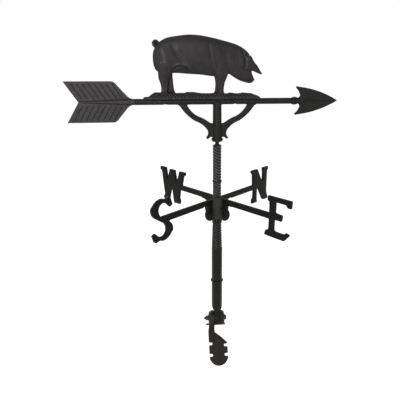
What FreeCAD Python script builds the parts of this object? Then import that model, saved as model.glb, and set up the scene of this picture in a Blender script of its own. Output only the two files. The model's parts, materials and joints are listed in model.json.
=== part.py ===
"""Pig weathervane on an adjustable ridge mount, modelled piece by piece at real size.

Frame: +Z up the mast, +X along the arrow towards its head, origin at the point of the roof
ridge under the mast, in the plane of the front foot's underside at rest. Millimetres, degrees.
"""
import FreeCAD, Part
import functools
import math
import os
import re

import Sketcher

Vector = FreeCAD.Vector
Rotation = FreeCAD.Rotation
Placement = FreeCAD.Placement

SIZES = [
    ("front_slope", 45, "slope of the front foot at rest, in degrees"),
    ("rear_slope", 37, "slope of the rear foot at rest, in degrees"),
    ("north_turn", 41.1, "turn of the north arm from the arrow at rest, in degrees"),
    ("running_gap", 0.3, "gap between faces that move past each other"),
    ("bore_gap", 0.05, "radial clearance of a bore on the rod or bolt that it turns on"),
    ("seat_gap", 0.05, "radial clearance of a threaded or pressed piece in its hole"),
    ("overrun", 2, "how far a cut runs past the face that it starts from"),
    ("knuckle_r", 20, "radius of the tongue and of the ears round the ridge bolt"),
    ("tongue_t", 14, "thickness of the tongue under the mast"),
    ("front_ear_t", 15, "thickness of the ear of the front foot"),
    ("rear_ear_t", 12.5, "thickness of the ear of the rear foot"),
    ("ear_round", 3, "rounding of the outer rim of an ear"),
    ("bolt_d", 6.35, "quarter inch ridge bolt"),
    ("hex_af", 11.1, "across the flats of its head and nut"),
    ("bolt_head_h", 4, "height of the bolt head"),
    ("nut_h", 5.6, "height of the nut"),
    ("bolt_over", 4, "length of the bolt past its nut"),
    ("washer_d", 15.5, "outside of the flat washers"),
    ("washer_t", 1.2, "thickness of the flat washers"),
    ("lock_d", 12.2, "outside of the lock washer"),
    ("lock_t", 1.4, "thickness of the lock washer"),
    ("lock_slit", 1, "slit of the lock washer"),
    ("foot_w", 49.8, "width of a foot plate"),
    ("foot_l", 122, "bolt axis to the end of a foot, down the roof"),
    ("foot_t", 5, "thickness of a foot plate"),
    ("foot_end", 20, "length of the rounded end of a foot"),
    ("neck_l", 33, "bolt axis to where the neck reaches the plate"),
    ("crotch_l", 36, "bolt axis to where the shoulder of the plate leaves the neck"),
    ("shoulder_mid", 52, "bolt axis to the middle of the shoulder's curve"),
    ("shoulder_l", 65, "bolt axis to where the plate has its full width"),
    ("slot_w", 7, "width of the edge slots for the roof screws"),
    ("slot_depth", 9.5, "depth of the edge slots"),
    ("slot_one", 66, "bolt axis to the upper slot under the neck"),
    ("slot_side", 71, "bolt axis to the upper slot under the shoulder"),
    ("slot_two", 95, "bolt axis to the middle of the lower slots"),
    ("mast_h", 295, "bolt axis to the top of the lower mast"),
    ("shank_d", 27.6, "lower mast under its bead"),
    ("barrel_d", 27.2, "lower mast over its bead"),
    ("bead_d", 33, "bead of the lower mast"),
    ("bead_h", 4, "height of the beads"),
    ("bead_z", 119.6, "bolt axis to the bead"),
    ("shoulder_z", 26.6, "bolt axis to where the tongue starts to widen"),
    ("shoulder_h", 13, "height over which the tongue widens into the shank"),
    ("neck_z", 211.6, "bolt axis to the foot of the twisted neck"),
    ("twist_d", 22.5, "top of the twisted neck"),
    ("twist_pitch", 30, "height of one full turn of the twist"),
    ("twist_depth", 0.9, "depth of the hollows between the twisted ridges"),
    ("collar_d", 24.5, "collar that the hub rests on"),
    ("collar_h", 12.4, "height of the collar"),
    ("rod_d", 9.53, "three eighths spindle rod"),
    ("core_wall", 3, "metal round the rod inside a twisted length"),
    ("rod_root", 45, "depth of the rod in the lower mast"),
    ("ring_d", 24, "outside of the hub rings"),
    ("low_ring_h", 28.2, "height of the lower hub ring"),
    ("top_ring_h", 28.8, "height of the upper hub ring"),
    ("top_boss_w", 16, "width of the flat bosses of the upper ring"),
    ("low_boss_w", 13.6, "width of the flat bosses of the lower ring"),
    ("boss_out", 14.8, "mast axis to the face of a boss"),
    ("hub_screw_d", 5, "set screws of the hub"),
    ("arm_h", 14, "height of the arms"),
    ("arm_t", 7, "thickness of the arms and webs"),
    ("arm_drop", 1.4, "upper ring top to arm top"),
    ("web_reach", 40, "mast axis to the belly of a web"),
    ("web_h", 48.4, "arm middle to the underside of a web"),
    ("eye_d", 4, "eye of the scroll in a web"),
    ("letter_h", 94, "height of the compass letters"),
    ("letter_t", 7, "thickness of the compass letters"),
    ("letter_reach", 175, "mast axis to the middle of a letter"),
    ("letter_lead", 2.4, "how much farther out north and east stand, and farther in south and west"),
    ("tube_d", 20.8, "twisted upper tube"),
    ("tube_h", 126.5, "length of the upper tube"),
    ("tube_bead_d", 22.8, "bead of the upper tube"),
    ("tube_bead_z", 38.5, "foot of the upper tube to its bead"),
    ("tube_end", 1.5, "height of the plain ends of the upper tube"),
    ("spindle_gap", 8.1, "length of rod left open over the upper tube"),
    ("stem_l", 90.5, "rail axis to the underside of the flange"),
    ("stem_d", 19.5, "stem under the rail"),
    ("stem_foot_d", 21.4, "stem over its flange"),
    ("flange_d", 27.2, "flange at the foot of the stem"),
    ("flange_h", 8, "height of the flange"),
    ("flange_cut", 3, "chamfer under the flange"),
    ("rod_play", 0.5, "radial room round the rod over the bushing"),
    ("bushing_d", 14, "outside of the stem bushing"),
    ("bushing_l", 22, "length of the stem bushing"),
    ("bore_top", 20, "metal between the end of the stem bore and the rail axis"),
    ("rail_d", 13.5, "round rail of the arrow"),
    ("rail_front", 169.7, "mast axis to the collar of the head"),
    ("rail_back", 181.3, "mast axis to the root of the tail"),
    ("spigot_d", 8, "reduced ends of the rail"),
    ("spigot_l", 22, "length of the reduced ends"),
    ("brace_reach", 90, "mast axis to the tip of a brace along the rail"),
    ("brace_h", 84.6, "rail axis to the leaf tip of a brace"),
    ("brace_t", 8, "thickness of the braces"),
    ("tail_l", 150, "length of the fletching"),
    ("tail_h", 88, "height of the fletching"),
    ("tail_t", 5, "thickness of the fletching"),
    ("notch_l", 122, "root of the fletching to its notch"),
    ("groove_count", 8, "grooves in each half of the fletching"),
    ("groove_w", 1.8, "width of the grooves"),
    ("groove_depth", 0.8, "depth of the grooves"),
    ("groove_edge", 12, "end of the fletching to its first groove"),
    ("groove_end", 4.5, "edge of the fletching to the end of its grooves"),
    ("groove_pitch", 12.4, "step from groove to groove"),
    ("head_l", 108.5, "collar of the head to its tip"),
    ("head_h", 62, "height of the head"),
    ("head_t", 6, "thickness of the head"),
    ("head_ridge", 86.8, "collar of the head to the end of its faint ridge"),
    ("knob_d", 17.6, "collar of the head at its widest"),
    ("knob_l", 15, "length of the collar"),
    ("pin_d", 3, "cross pin in the tail"),
    ("pin_l", 13, "length of the cross pin"),
    ("set_d", 4, "set screw in the head"),
    ("screw_d", 4, "screws that hold the figure"),
    ("screw_head_d", 7, "heads of those screws"),
    ("screw_head_h", 2.8, "height of those heads"),
    ("screw_sink", 1.2, "depth of the heads in the rail"),
    ("screw_reach", 6, "length of thread in the figure over the rail"),
    ("screw_back", 116, "mast axis to the rear screw"),
    ("screw_fore", 40, "mast axis to the front screw"),
    ("pig_l", 220, "rump to snout"),
    ("pig_h", 137.5, "rail axis to the back of the pig"),
    ("pig_t", 28, "thickness of the pig"),
    ("grass_t", 18, "thickness of the grass base"),
    ("saddle", 3.8, "rail axis to the underside of the grass base"),
    ("curl_r", 7.5, "middle of the curl to the middle of its outer turn"),
    ("curl_pitch", 5.2, "step inwards of the curl in one turn"),
    ("curl_side", 2.6, "sideways step of the curl in one turn"),
    ("curl_wire", 4.8, "thickness of the curled tail at its root"),
]
NAMES = {alias for alias, _, _ in SIZES}
VIA = "on the arc"

doc = FreeCAD.newDocument("pig_weathervane")
sheet = doc.addObject("Spreadsheet::Sheet", "sizes")
for row, (alias, number, note) in enumerate(SIZES, 1):
    sheet.set(f"A{row}", note)
    sheet.set(f"B{row}", str(number))
    sheet.setAlias(f"B{row}", alias)
doc.recompute()


def bound(text):
    """A sum of named sizes, written as an expression on the sheet."""
    return re.sub(r"[a-z_]+", lambda word: f"sizes.{word[0]}" if word[0] in NAMES else word[0], text)


def size(text):
    """The present value of a sum of named sizes."""
    return float(sheet.evalExpression(bound(text)))


def bind(piece, **sums):
    """Ties properties of a piece to sums of named sizes; a double underscore stands for a dot."""
    for name, text in sums.items():
        piece.setExpression(name.replace("__", "."), bound(text))


# Heights of the pieces over one another, from the ridge up.
BOLT_Z = "(knuckle_r / cos(front_slope))"
LOW_RING_Z = f"({BOLT_Z} + mast_h + running_gap)"
TOP_RING_Z = f"({LOW_RING_Z} + low_ring_h + running_gap)"
ARM_Z = f"({TOP_RING_Z} + top_ring_h - arm_drop - arm_h / 2)"
TUBE_Z = f"({TOP_RING_Z} + top_ring_h + running_gap)"
RAIL_Z = f"({TUBE_Z} + tube_h + spindle_gap + stem_l)"
ROD_FOOT_Z = f"({BOLT_Z} + mast_h - rod_root)"
BALL_Z = f"({RAIL_Z} - bore_top - running_gap - rod_d / 2)"
FRONT_STACK = "(tongue_t / 2 + running_gap + front_ear_t)"
REAR_STACK = "(tongue_t / 2 + running_gap + rear_ear_t)"


def plane_of(body, role):
    return next(plane for plane in body.Origin.OriginFeatures if plane.Role == role)


def new_body(name):
    return doc.addObject("PartDesign::Body", name)


def new_sketch(body, role, name, lift="0", turn=0):
    """A sketch on one of the body's own planes, lifted off it and turned about its own upright."""
    sketch = body.newObject("Sketcher::SketchObject", name)
    sketch.AttachmentSupport = (plane_of(body, role), [""])
    sketch.MapMode = "FlatFace"
    sketch.AttachmentOffset = Placement(Vector(0, 0, 0), Rotation(Vector(0, 1, 0), turn))
    if lift != "0":
        bind(sketch, AttachmentOffset__Base__z=lift)
    return sketch


def held(sketch, rules):
    """Adds geometric rules and dimensions to a sketch at once; a dimension comes with its sum."""
    first = len(sketch.Constraints)
    sketch.addConstraint([rule for rule, _ in rules])
    for index, (_, text) in enumerate(rules, first):
        if text:
            sketch.setExpression(f"Constraints[{index}]", bound(text))
    return sketch


def at_place(edge, end, across, up):
    """Dimensions of one end of an edge from the origin of its sketch."""
    return [
        (Sketcher.Constraint(kind, -1, 1, edge, end, size(text)), text)
        for kind, text in (("DistanceX", across), ("DistanceY", up))
    ]


def outline(body, role, name, points, lift="0", turn=0):
    """A closed outline through the points; one that is marked VIA lies on the arc that passes it."""
    sketch = new_sketch(body, role, name, lift, turn)
    corners = [point for point in points if point[-1] != VIA]
    arcs = {}
    for place, point in enumerate(points):
        if point[-1] == VIA:
            arcs[corners.index(points[place - 1])] = point
    spots = [Vector(size(across), size(up), 0) for across, up in corners]
    ends = []
    for edge, start in enumerate(spots):
        stop = spots[(edge + 1) % len(spots)]
        if edge in arcs:
            middle = Vector(size(arcs[edge][0]), size(arcs[edge][1]), 0)
            clockwise = (middle - start).cross(stop - start).z < 0
            sketch.addGeometry(Part.Arc(*((stop, middle, start) if clockwise else (start, middle, stop))))
            ends.append((2, 1) if clockwise else (1, 2))
        else:
            sketch.addGeometry(Part.LineSegment(start, stop))
            ends.append((1, 2))
    rules = []
    for edge, (across, up) in enumerate(corners):
        following = (edge + 1) % len(spots)
        joint = Sketcher.Constraint("Coincident", edge, ends[edge][1], following, ends[following][0])
        rules.append((joint, None))
        rules += at_place(edge, ends[edge][0], across, up)
    for edge, (across, up, _) in arcs.items():
        spot = sketch.addGeometry(Part.Point(Vector(size(across), size(up), 0)), True)
        rules.append((Sketcher.Constraint("PointOnObject", spot, 1, edge), None))
        rules += at_place(spot, 1, across, up)
    return held(sketch, rules)


def round_outline(body, role, name, diameter, across="0", up="0", lift="0", turn=0):
    """A circle of the given diameter."""
    sketch = new_sketch(body, role, name, lift, turn)
    middle = Vector(size(across), size(up), 0)
    sketch.addGeometry(Part.Circle(middle, Vector(0, 0, 1), size(diameter) / 2))
    rules = [(Sketcher.Constraint("Diameter", 0, size(diameter)), diameter)]
    return held(sketch, rules + at_place(0, 3, across, up))


def add_feature(body, kind, sketch, label):
    feature = body.newObject(f"PartDesign::{kind}", label)
    feature.Profile = sketch
    return feature


def pad(body, sketch, depth):
    """Stock on both sides of the sketch, the depth in all."""
    feature = add_feature(body, "Pad", sketch, f"{sketch.Label}_pad")
    feature.SideType = "Symmetric"
    bind(feature, Length=depth)
    return feature


def pocket(body, sketch, depth=None, one_way=False, onward=False):
    """A cut through the sketch, all the way, or to a depth shared by both sides or on one side."""
    feature = add_feature(body, "Pocket", sketch, f"{sketch.Label}_pocket")
    if depth:
        bind(feature, Length=depth)
    else:
        feature.Type = "ThroughAll"
    if not one_way:
        feature.SideType = "Symmetric"
    feature.Reversed = onward
    return feature


def turn_about(body, sketch, axis, kind="Revolution"):
    """A full turn of the sketch about its own upright or level axis."""
    feature = add_feature(body, kind, sketch, f"{sketch.Label}_turned")
    feature.ReferenceAxis = (sketch, [axis])
    feature.Angle = 360
    return feature


def finish(piece, name, height=None, turn=None):
    """Names a finished piece and puts it at its turn about the mast and its height."""
    piece.Label = name
    if turn:
        piece.Placement = Placement(Vector(0, 0, 0), Rotation(Vector(0, 0, 1), size(turn)))
    if height:
        bind(piece, Placement__Base__z=height)
    return piece


def cylinder(name, diameter, length, x="0", y="0", z="0", axis=None, angle=0):
    """A plain round bar, upright or turned about an axis through its foot."""
    bar = doc.addObject("Part::Cylinder", name)
    bind(bar, Radius=f"({diameter}) / 2", Height=length)
    if axis:
        bar.Placement = Placement(Vector(0, 0, 0), Rotation(Vector(*axis), angle))
    bind(bar, Placement__Base__x=x, Placement__Base__y=y, Placement__Base__z=z)
    return bar


def fuse(name, pieces):
    """One solid of all the pieces, joined one after another."""
    whole = pieces[0]
    for place, piece in enumerate(pieces[1:], 1):
        joined = doc.addObject("Part::Fuse", f"{name}_{place}")
        joined.Base = whole
        joined.Tool = piece
        joined.Refine = False
        whole = joined
    return whole


def cut(name, piece, tool):
    rest = doc.addObject("Part::Cut", name)
    rest.Base = piece
    rest.Tool = tool
    rest.Refine = False
    return rest


def scaled(shares, wide, tall, across="0", up="0", side=1):
    """Points given in percent of a width and a height, from a starting place."""
    return [
        (f"{side} * ({across} + {wide} * {share[0]} / 100)", f"{up} + {tall} * {share[1]} / 100")
        + tuple(share[2:])
        for share in shares
    ]


def skinned(name, rings):
    """A solid with flat facets over a run of rings of equally many corners, closed at both ends."""
    facets = []
    for ring, following in zip(rings, rings[1:]):
        for corner in range(len(ring)):
            near, far = ring[corner - 1], ring[corner]
            above, beyond = following[corner - 1], following[corner]
            facets += [(near, far, beyond), (near, beyond, above)]
    faces = [Part.Face(Part.makePolygon([*facet, facet[0]])) for facet in facets]
    faces += [Part.Face(Part.makePolygon([*ring, ring[0]])) for ring in (rings[0], rings[-1])]
    shell = Part.Shell(faces)
    shell.sewShape()
    solid = Part.Solid(shell)
    form = doc.addObject("Part::Feature", name)
    form.Shape = solid if solid.Volume > 0 else solid.reversed()
    return form


def twisted_bar(name, foot, stops):
    """A bar of four twisted ridges; each stop gives a height and the diameter over the ridges."""
    stops = [(size(height), size(diameter) / 2) for height, diameter in stops]
    ridges = 4
    half_flat = 18
    steps_a_turn = 16
    rise = size("twist_pitch") / steps_a_turn
    levels = []
    for (low, low_r), (high, high_r) in zip(stops, stops[1:]):
        count = max(1, round((high - low) / rise))
        for step in range(count):
            share = step / count
            levels.append((low + (high - low) * share, low_r + (high_r - low_r) * share))
    levels.append(stops[-1])
    rings = []
    for height, radius in levels:
        turn = -360 * height / size("twist_pitch")
        corners = []
        for ridge in range(ridges):
            for offset in (-half_flat, half_flat):
                angle = math.radians(turn + ridge * 360 / ridges + offset)
                reach = radius if offset < 0 else radius - size("twist_depth")
                corners.append(Vector(reach * math.cos(angle), reach * math.sin(angle), height))
        rings.append(corners)
    bar = skinned(name, rings)
    bar.Placement = Placement(Vector(0, 0, size(foot)), Rotation())
    return bar


def lower_mast():
    """Cast lower mast: tongue, shank, bead, barrel, taper, twisted neck and collar."""
    body = new_body("mast_casting")
    core = "rod_d / 2 + core_wall"
    collar_foot = "mast_h - collar_h"
    turned = [
        ("0", "shoulder_z"),
        ("shank_d / 2", "shoulder_z"),
        ("shank_d / 2", "bead_z - bead_h / 2"),
        ("bead_d / 2", "bead_z", VIA),
        ("barrel_d / 2", "bead_z + bead_h / 2"),
        ("barrel_d / 2", "neck_z"),
        (core, "neck_z"),
        (core, collar_foot),
        ("twist_d / 2", collar_foot),
        ("collar_d / 2", "mast_h - collar_h / 2", VIA),
        ("twist_d / 2 + twist_depth", "mast_h - collar_h / 4"),
        ("twist_d / 2 + twist_depth", "mast_h"),
        ("0", "mast_h"),
    ]
    turn_about(body, outline(body, "XZ_Plane", "mast_profile", turned), "V_Axis")
    side = "shank_d / 2"
    rim = f"sqrt(knuckle_r ^ 2 - ({side}) ^ 2)"
    tongue = [
        (f"-{side}", rim),
        ("0", "-knuckle_r", VIA),
        (side, rim),
        (side, "shoulder_z + shoulder_h"),
        (f"-{side}", "shoulder_z + shoulder_h"),
    ]
    pad(body, outline(body, "YZ_Plane", "tongue", tongue), "tongue_t")
    for way, sign in (("right", ""), ("left", "-")):
        flank = [
            (f"{sign}tongue_t / 2", "0"),
            (f"{sign}tongue_t / 2", "shoulder_z"),
            (f"{sign}shank_d / 2", "shoulder_z + shoulder_h"),
            (f"{sign}shank_d", "shoulder_z + shoulder_h"),
            (f"{sign}shank_d", "0"),
        ]
        pocket(body, outline(body, "XZ_Plane", f"flank_{way}", flank))
    bore = round_outline(body, "YZ_Plane", "bolt_bore", "bolt_d + 2 * bore_gap")
    pocket(body, bore)
    neck = twisted_bar("mast_twist", "0", [
        ("neck_z", "barrel_d"),
        (collar_foot, "twist_d"),
    ])
    socket = cylinder("rod_socket", "rod_d + 2 * seat_gap", "rod_root + overrun", z="mast_h - rod_root")
    whole = cut("mast_bored", fuse("mast_whole", [body, neck]), socket)
    finish(whole, "lower_mast", BOLT_Z)


def upper_tube():
    """Twisted tube round the rod, with a bead and plain ends."""
    body = new_body("tube_core")
    core = "rod_d / 2 + core_wall"
    end = "tube_end"
    turned = [
        ("0", "0"),
        ("tube_d / 2", "0"),
        ("tube_d / 2", end),
        (core, end),
        (core, "tube_bead_z - bead_h / 2"),
        ("tube_d / 2 - twist_depth", "tube_bead_z - bead_h / 2"),
        ("tube_bead_d / 2", "tube_bead_z", VIA),
        ("tube_d / 2 - twist_depth", "tube_bead_z + bead_h / 2"),
        (core, "tube_bead_z + bead_h / 2"),
        (core, f"tube_h - {end}"),
        ("tube_d / 2", f"tube_h - {end}"),
        (f"tube_d / 2 - {end}", "tube_h"),
        ("0", "tube_h"),
    ]
    turn_about(body, outline(body, "XZ_Plane", "tube_profile", turned), "V_Axis")
    low = twisted_bar("tube_twist_low", "0", [(end, "tube_d"), ("tube_bead_z - bead_h / 4", "tube_d")])
    high = twisted_bar("tube_twist_high", "0", [
        ("tube_bead_z + bead_h / 4", "tube_d"),
        (f"tube_h - {end}", "tube_d"),
    ])
    bore = cylinder("tube_bore", "rod_d + 2 * seat_gap", "tube_h + 2 * overrun", z="-overrun")
    whole = cut("tube_bored", fuse("tube_whole", [body, low, high]), bore)
    finish(whole, "upper_tube", TUBE_Z)


def spindle():
    """Rod that carries everything over the lower mast, and the ball that the vane turns on."""
    rod = cylinder("rod", "rod_d", f"{BALL_Z} - rod_d / 2 - {ROD_FOOT_Z}", z=ROD_FOOT_Z)
    finish(rod, "center_rod")
    ball = doc.addObject("Part::Sphere", "ball")
    bind(ball, Radius="rod_d / 2")
    finish(ball, "pivot_ball", BALL_Z)
    body = new_body("bushing")
    sleeve = [
        ("rod_d / 2 + bore_gap", "0"),
        ("bushing_d / 2 - seat_gap", "0"),
        ("bushing_d / 2 - seat_gap", "bushing_l"),
        ("rod_d / 2 + bore_gap", "bushing_l"),
    ]
    turn_about(body, outline(body, "XZ_Plane", "bushing_wall", sleeve), "V_Axis")
    finish(body, "stem_bushing", f"{RAIL_Z} - stem_l")


# Compass letters, in percent of their height from their middle.
N_SHARES = [
    (-48.4, 50.5), (-48.4, 44), (-41.5, 36.7), (-39.4, 0.5), (-36.2, -14.4), (-36.2, -33.5),
    (-41.5, -36.7), (-42.6, -49.5), (-18.1, -49.5), (-21.3, -38.8), (-21.3, -10), (-18.1, -1.6),
    (7.4, -46.3), (11.7, -49.5), (31.9, -49.5), (31.9, -42), (27.7, -33.5), (24.5, -22.9),
    (24.5, 38.8), (29.8, 43), (28.7, 50.5), (4.3, 50.5), (4.3, 43), (6.4, 36.7), (6.4, 13.3),
    (1, 11.2), (-18.1, 45.2), (-21.3, 50.5),
]
E_SHARES = [
    (-27.7, 49.5), (36.7, 49.5), (36.2, 31.4), (27.7, 31.4), (22.3, 37.8), (-3.2, 37.8),
    (-5.3, 34.6), (-5.3, 11.2), (11.7, 10), (13.8, 8), (12.8, -4.8), (-5.3, -4.8),
    (-7.4, -10), (-7.4, -31.4), (-3.2, -34.6), (19.1, -34.6), (26.6, -29.3), (36.2, -33.5),
    (22.3, -50.5), (-33, -49.5), (-30.9, -37.8), (-22.3, -33.5), (-21.3, 0.5), (-22.3, 36.7),
    (-27.1, 37.8),
]
W_SHARES = [
    (-42.6, 51.6), (-18.1, 51.6), (-12.8, 14.4), (-1, 49.5), (20.2, 49.5), (26.6, 11.2),
    (40.4, 49.5), (63.8, 49.5), (63.8, 41), (56.4, 37.8), (48.9, 9), (40.4, -8),
    (36.2, -30.3), (39.4, -36.7), (38.3, -48.4), (13.8, -49.5), (11.7, -38.8), (7.4, -10),
    (5.3, -6), (1, -10), (-7.4, -38.8), (-8.5, -49.5), (-29.8, -49.5), (-33, -38.8),
    (-26.6, -31.4), (-31, -1.6), (-35, 30.3), (-36.2, 38.8), (-42.6, 41),
]
# Half of the letter that turns into itself, from its left bowl round to its right one.
S_HALF_SHARES = [
    (-30.3, 28.7), (-28.2, 18.1, VIA), (-20.7, 8.5), (-1.6, -5.3), (6.8, -13, VIA),
    (10, -23.4), (6.4, -35.1, VIA), (-4.8, -40.4), (-12.2, -38.3), (-16.5, -33),
    (-22.9, -26.6), (-31.4, -30.9), (-26.1, -47.9), (-21.8, -51), (-11.2, -47.9),
    (-2.7, -51), (14.4, -47.5, VIA), (25, -37.2), (29, -33.5, VIA),
]
S_SHARES = S_HALF_SHARES + [(-share[0], -share[1]) + tuple(share[2:]) for share in S_HALF_SHARES]
# Outer edge of the scrolled web under an arm, in percent of its reach and height.
WEB_SHARES = [
    (125, -14.2), (100, -16, VIA), (85, -21.5), (82, -29, VIA), (87, -38), (100, -62, VIA),
    (92, -84), (76, -98, VIA), (52.5, -100),
]
EYE_SHARE = (57.5, -82)
# Where an arm ends inside its letter, in percent of the letter's height short of its middle.
ARM_END_SHARES = {"north": 25, "south": 0.5, "east": 20, "west": 20}
# How far an arm and its letter stand over the middle of the arms, in percent of the arm's height.
ARM_LIFT_SHARES = {"north": -11, "south": -8, "east": 6, "west": 15}
LETTER_LIFT_SHARES = {"north": -5, "south": -18, "east": 0, "west": -3}
ARM_START = "((boss_out + top_boss_w / 2) * cos(45) + running_gap)"
RING_TOP = "(arm_h / 2 + arm_drop)"
RING_SPLIT = f"({RING_TOP} - top_ring_h)"
LOW_TOP = f"({RING_SPLIT} - running_gap)"
LOW_FOOT = f"({LOW_TOP} - low_ring_h)"


def compass_bar(name, ring_foot, ring_top, boss_w, letters):
    """One cast bar: a hub ring with flat bosses, two arms on scrolled webs, and two letters."""
    body = new_body(f"{name}_casting")
    middle = f"({ring_foot} + {ring_top}) / 2"
    height = f"{ring_top} - {ring_foot}"
    pad(body, round_outline(body, "XY_Plane", f"{name}_ring", "ring_d", lift=middle), height)
    block = []
    for along, across in ((1, 1), (-1, 1), (-1, -1), (1, -1)):
        block.append((
            f"({along} * boss_out - {across} * {boss_w} / 2) * cos(45)",
            f"({along} * boss_out + {across} * {boss_w} / 2) * cos(45)",
        ))
    pad(body, outline(body, "XY_Plane", f"{name}_bosses", block, middle), height)
    upper = ring_top == RING_TOP
    for (letter, shares), side in zip(letters, (1, -1)):
        lift = f"arm_h * {ARM_LIFT_SHARES[letter]} / 100"
        arm_top = f"{lift} + arm_h / 2"
        arm_foot = f"{lift} - arm_h / 2"
        reach = f"(letter_reach + {side} * letter_lead)"
        web = scaled(WEB_SHARES, "web_reach", "web_h", side=side)
        if upper:
            inner = [(f"{side} * {ARM_START}", web[-1][1]), (f"{side} * {ARM_START}", RING_SPLIT)]
            inner += [(f"{side} * ring_d / 4", RING_SPLIT), (f"{side} * ring_d / 4", arm_top)]
        else:
            inner = [(f"{side} * ring_d / 4", web[-1][1]), (f"{side} * ring_d / 4", LOW_TOP)]
            inner += [(f"{side} * {ARM_START}", LOW_TOP), (f"{side} * {ARM_START}", arm_top)]
        web += inner + [(web[0][0], arm_top)]
        pad(body, outline(body, "XZ_Plane", f"{letter}_web", web), "arm_t")
        root = web[0][0]
        end = f"{side} * ({reach} - letter_h * {ARM_END_SHARES[letter]} / 100)"
        strip = [(root, arm_top), (end, arm_top), (end, arm_foot), (root, arm_foot)]
        pad(body, outline(body, "XZ_Plane", f"{letter}_arm", strip), "arm_t")
        place = f"{side} * {reach}"
        form = scaled(shares, "letter_h", "letter_h", place, f"arm_h * {LETTER_LIFT_SHARES[letter]} / 100")
        pad(body, outline(body, "XZ_Plane", f"{letter}_letter", form), "letter_t")
        eye = scaled([EYE_SHARE], "web_reach", "web_h", side=side)[0]
        pocket(body, round_outline(body, "XZ_Plane", f"{letter}_eye", "eye_d", *eye))
    pocket(body, round_outline(body, "XY_Plane", f"{name}_bore", "rod_d + 2 * bore_gap"))
    tapped = round_outline(body, "YZ_Plane", f"{name}_tapped", "hub_screw_d + 2 * seat_gap",
                           up=middle, turn=45)
    pocket(body, tapped, one_way=True, onward=True)
    return body


def compass():
    """The two crossed bars and the set screws that hold them on the rod."""
    long_letters = [("north", N_SHARES), ("south", S_SHARES)]
    cross_letters = [("east", E_SHARES), ("west", W_SHARES)]
    bar = compass_bar("north_south", RING_SPLIT, RING_TOP, "top_boss_w", long_letters)
    finish(bar, "north_south_bar", ARM_Z, "north_turn")
    bar = compass_bar("east_west", LOW_FOOT, LOW_TOP, "low_boss_w", cross_letters)
    finish(bar, "east_west_bar", ARM_Z, "(north_turn - 90)")
    rings = (("upper", TOP_RING_Z, "top_ring_h", 45), ("lower", LOW_RING_Z, "low_ring_h", -45))
    for name, foot, height, quarter in rings:
        start = "(rod_d / 2 + bore_gap)"
        turn = f"(north_turn + {quarter})"
        screw = doc.addObject("Part::Cylinder", f"{name}_screw")
        bind(screw, Radius="hub_screw_d / 2", Height=f"boss_out - {start}")
        flat = Rotation(Vector(0, 1, 0), 90)
        screw.Placement = Placement(Vector(0, 0, 0), Rotation(Vector(0, 0, 1), size(turn)) * flat)
        bind(screw, Placement__Base__x=f"{start} * cos({turn})", Placement__Base__y=f"{start} * sin({turn})",
             Placement__Base__z=f"{foot} + {height} / 2")
        screw.Label = f"{name}_hub_screw"


def foot(name, turn, slope, ear_t, stack):
    """Cast foot: an ear on the bolt, a neck and a slotted plate that lies on the roof."""
    body = new_body(f"{name}_casting")
    inner = "-(tongue_t / 2 + running_gap)"
    outer = f"-{stack}"
    ear = [
        (inner, "0"),
        (inner, "knuckle_r"),
        (f"{outer} + ear_round", "knuckle_r"),
        (f"{outer} + ear_round * (1 - cos(45))", "knuckle_r - ear_round * (1 - cos(45))", VIA),
        (outer, "knuckle_r - ear_round"),
        (outer, "0"),
    ]
    turn_about(body, outline(body, "XY_Plane", f"{name}_ear", ear), "H_Axis")
    neck = [
        ("0", "0"),
        ("-knuckle_r", "0"),
        ("-neck_l", "foot_t - knuckle_r"),
        ("-neck_l", "-knuckle_r"),
        ("0", "-knuckle_r"),
    ]
    pad(body, outline(body, "YZ_Plane", f"{name}_neck", neck, f"{inner} - {ear_t} / 2"), ear_t)
    side = "foot_w / 2"
    plate = [
        (inner, "0"),
        (inner, "-crotch_l"),
        ("foot_w / 4", "-shoulder_mid", VIA),
        (side, "-shoulder_l"),
        (side, "foot_end - foot_l"),
        ("0", "-foot_l", VIA),
        (f"-{side}", "foot_end - foot_l"),
        (f"-{side}", "-neck_l"),
        (outer, "-knuckle_r"),
        (outer, "0"),
    ]
    level = "foot_t / 2 - knuckle_r"
    pad(body, outline(body, "XY_Plane", f"{name}_plate", plate, level), "foot_t")
    slots = (("slot_side", 1), ("slot_one", -1), ("slot_two", 1), ("slot_two", -1))
    for row, (place, sign) in enumerate(slots):
        back = f"{sign} * ({side} - slot_depth + slot_w / 2)"
        rim = f"{sign} * ({side} + overrun)"
        slot = [
            (rim, f"slot_w / 2 - {place}"),
            (back, f"slot_w / 2 - {place}"),
            (f"{sign} * ({side} - slot_depth)", f"-{place}", VIA),
            (back, f"-slot_w / 2 - {place}"),
            (rim, f"-slot_w / 2 - {place}"),
        ]
        pocket(body, outline(body, "XY_Plane", f"{name}_slot_{row}", slot, level), "foot_t * 2")
    pocket(body, round_outline(body, "YZ_Plane", f"{name}_bore", "bolt_d + 2 * bore_gap"))
    body.Label = name
    upright = Rotation(Vector(0, 0, 1), turn)
    body.Placement = Placement(Vector(0, 0, 0), Rotation(Vector(1, 0, 0), size(slope)) * upright)
    bind(body, Placement__Base__z=BOLT_Z)


def hexagon(body, name, lift):
    """A hexagon round the bolt axis."""
    corner = "hex_af / 2 / cos(30)"
    points = [(f"{corner} * cos({angle})", f"{corner} * sin({angle})") for angle in range(0, 360, 60)]
    return outline(body, "YZ_Plane", name, points, lift)


def ring_piece(name, outside, thickness, middle, hole="bolt_d + 2 * seat_gap"):
    """A washer on the bolt."""
    body = new_body(name)
    pad(body, round_outline(body, "YZ_Plane", f"{name}_disc", outside, lift=middle), thickness)
    pocket(body, round_outline(body, "YZ_Plane", f"{name}_hole", hole))
    return body


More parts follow.
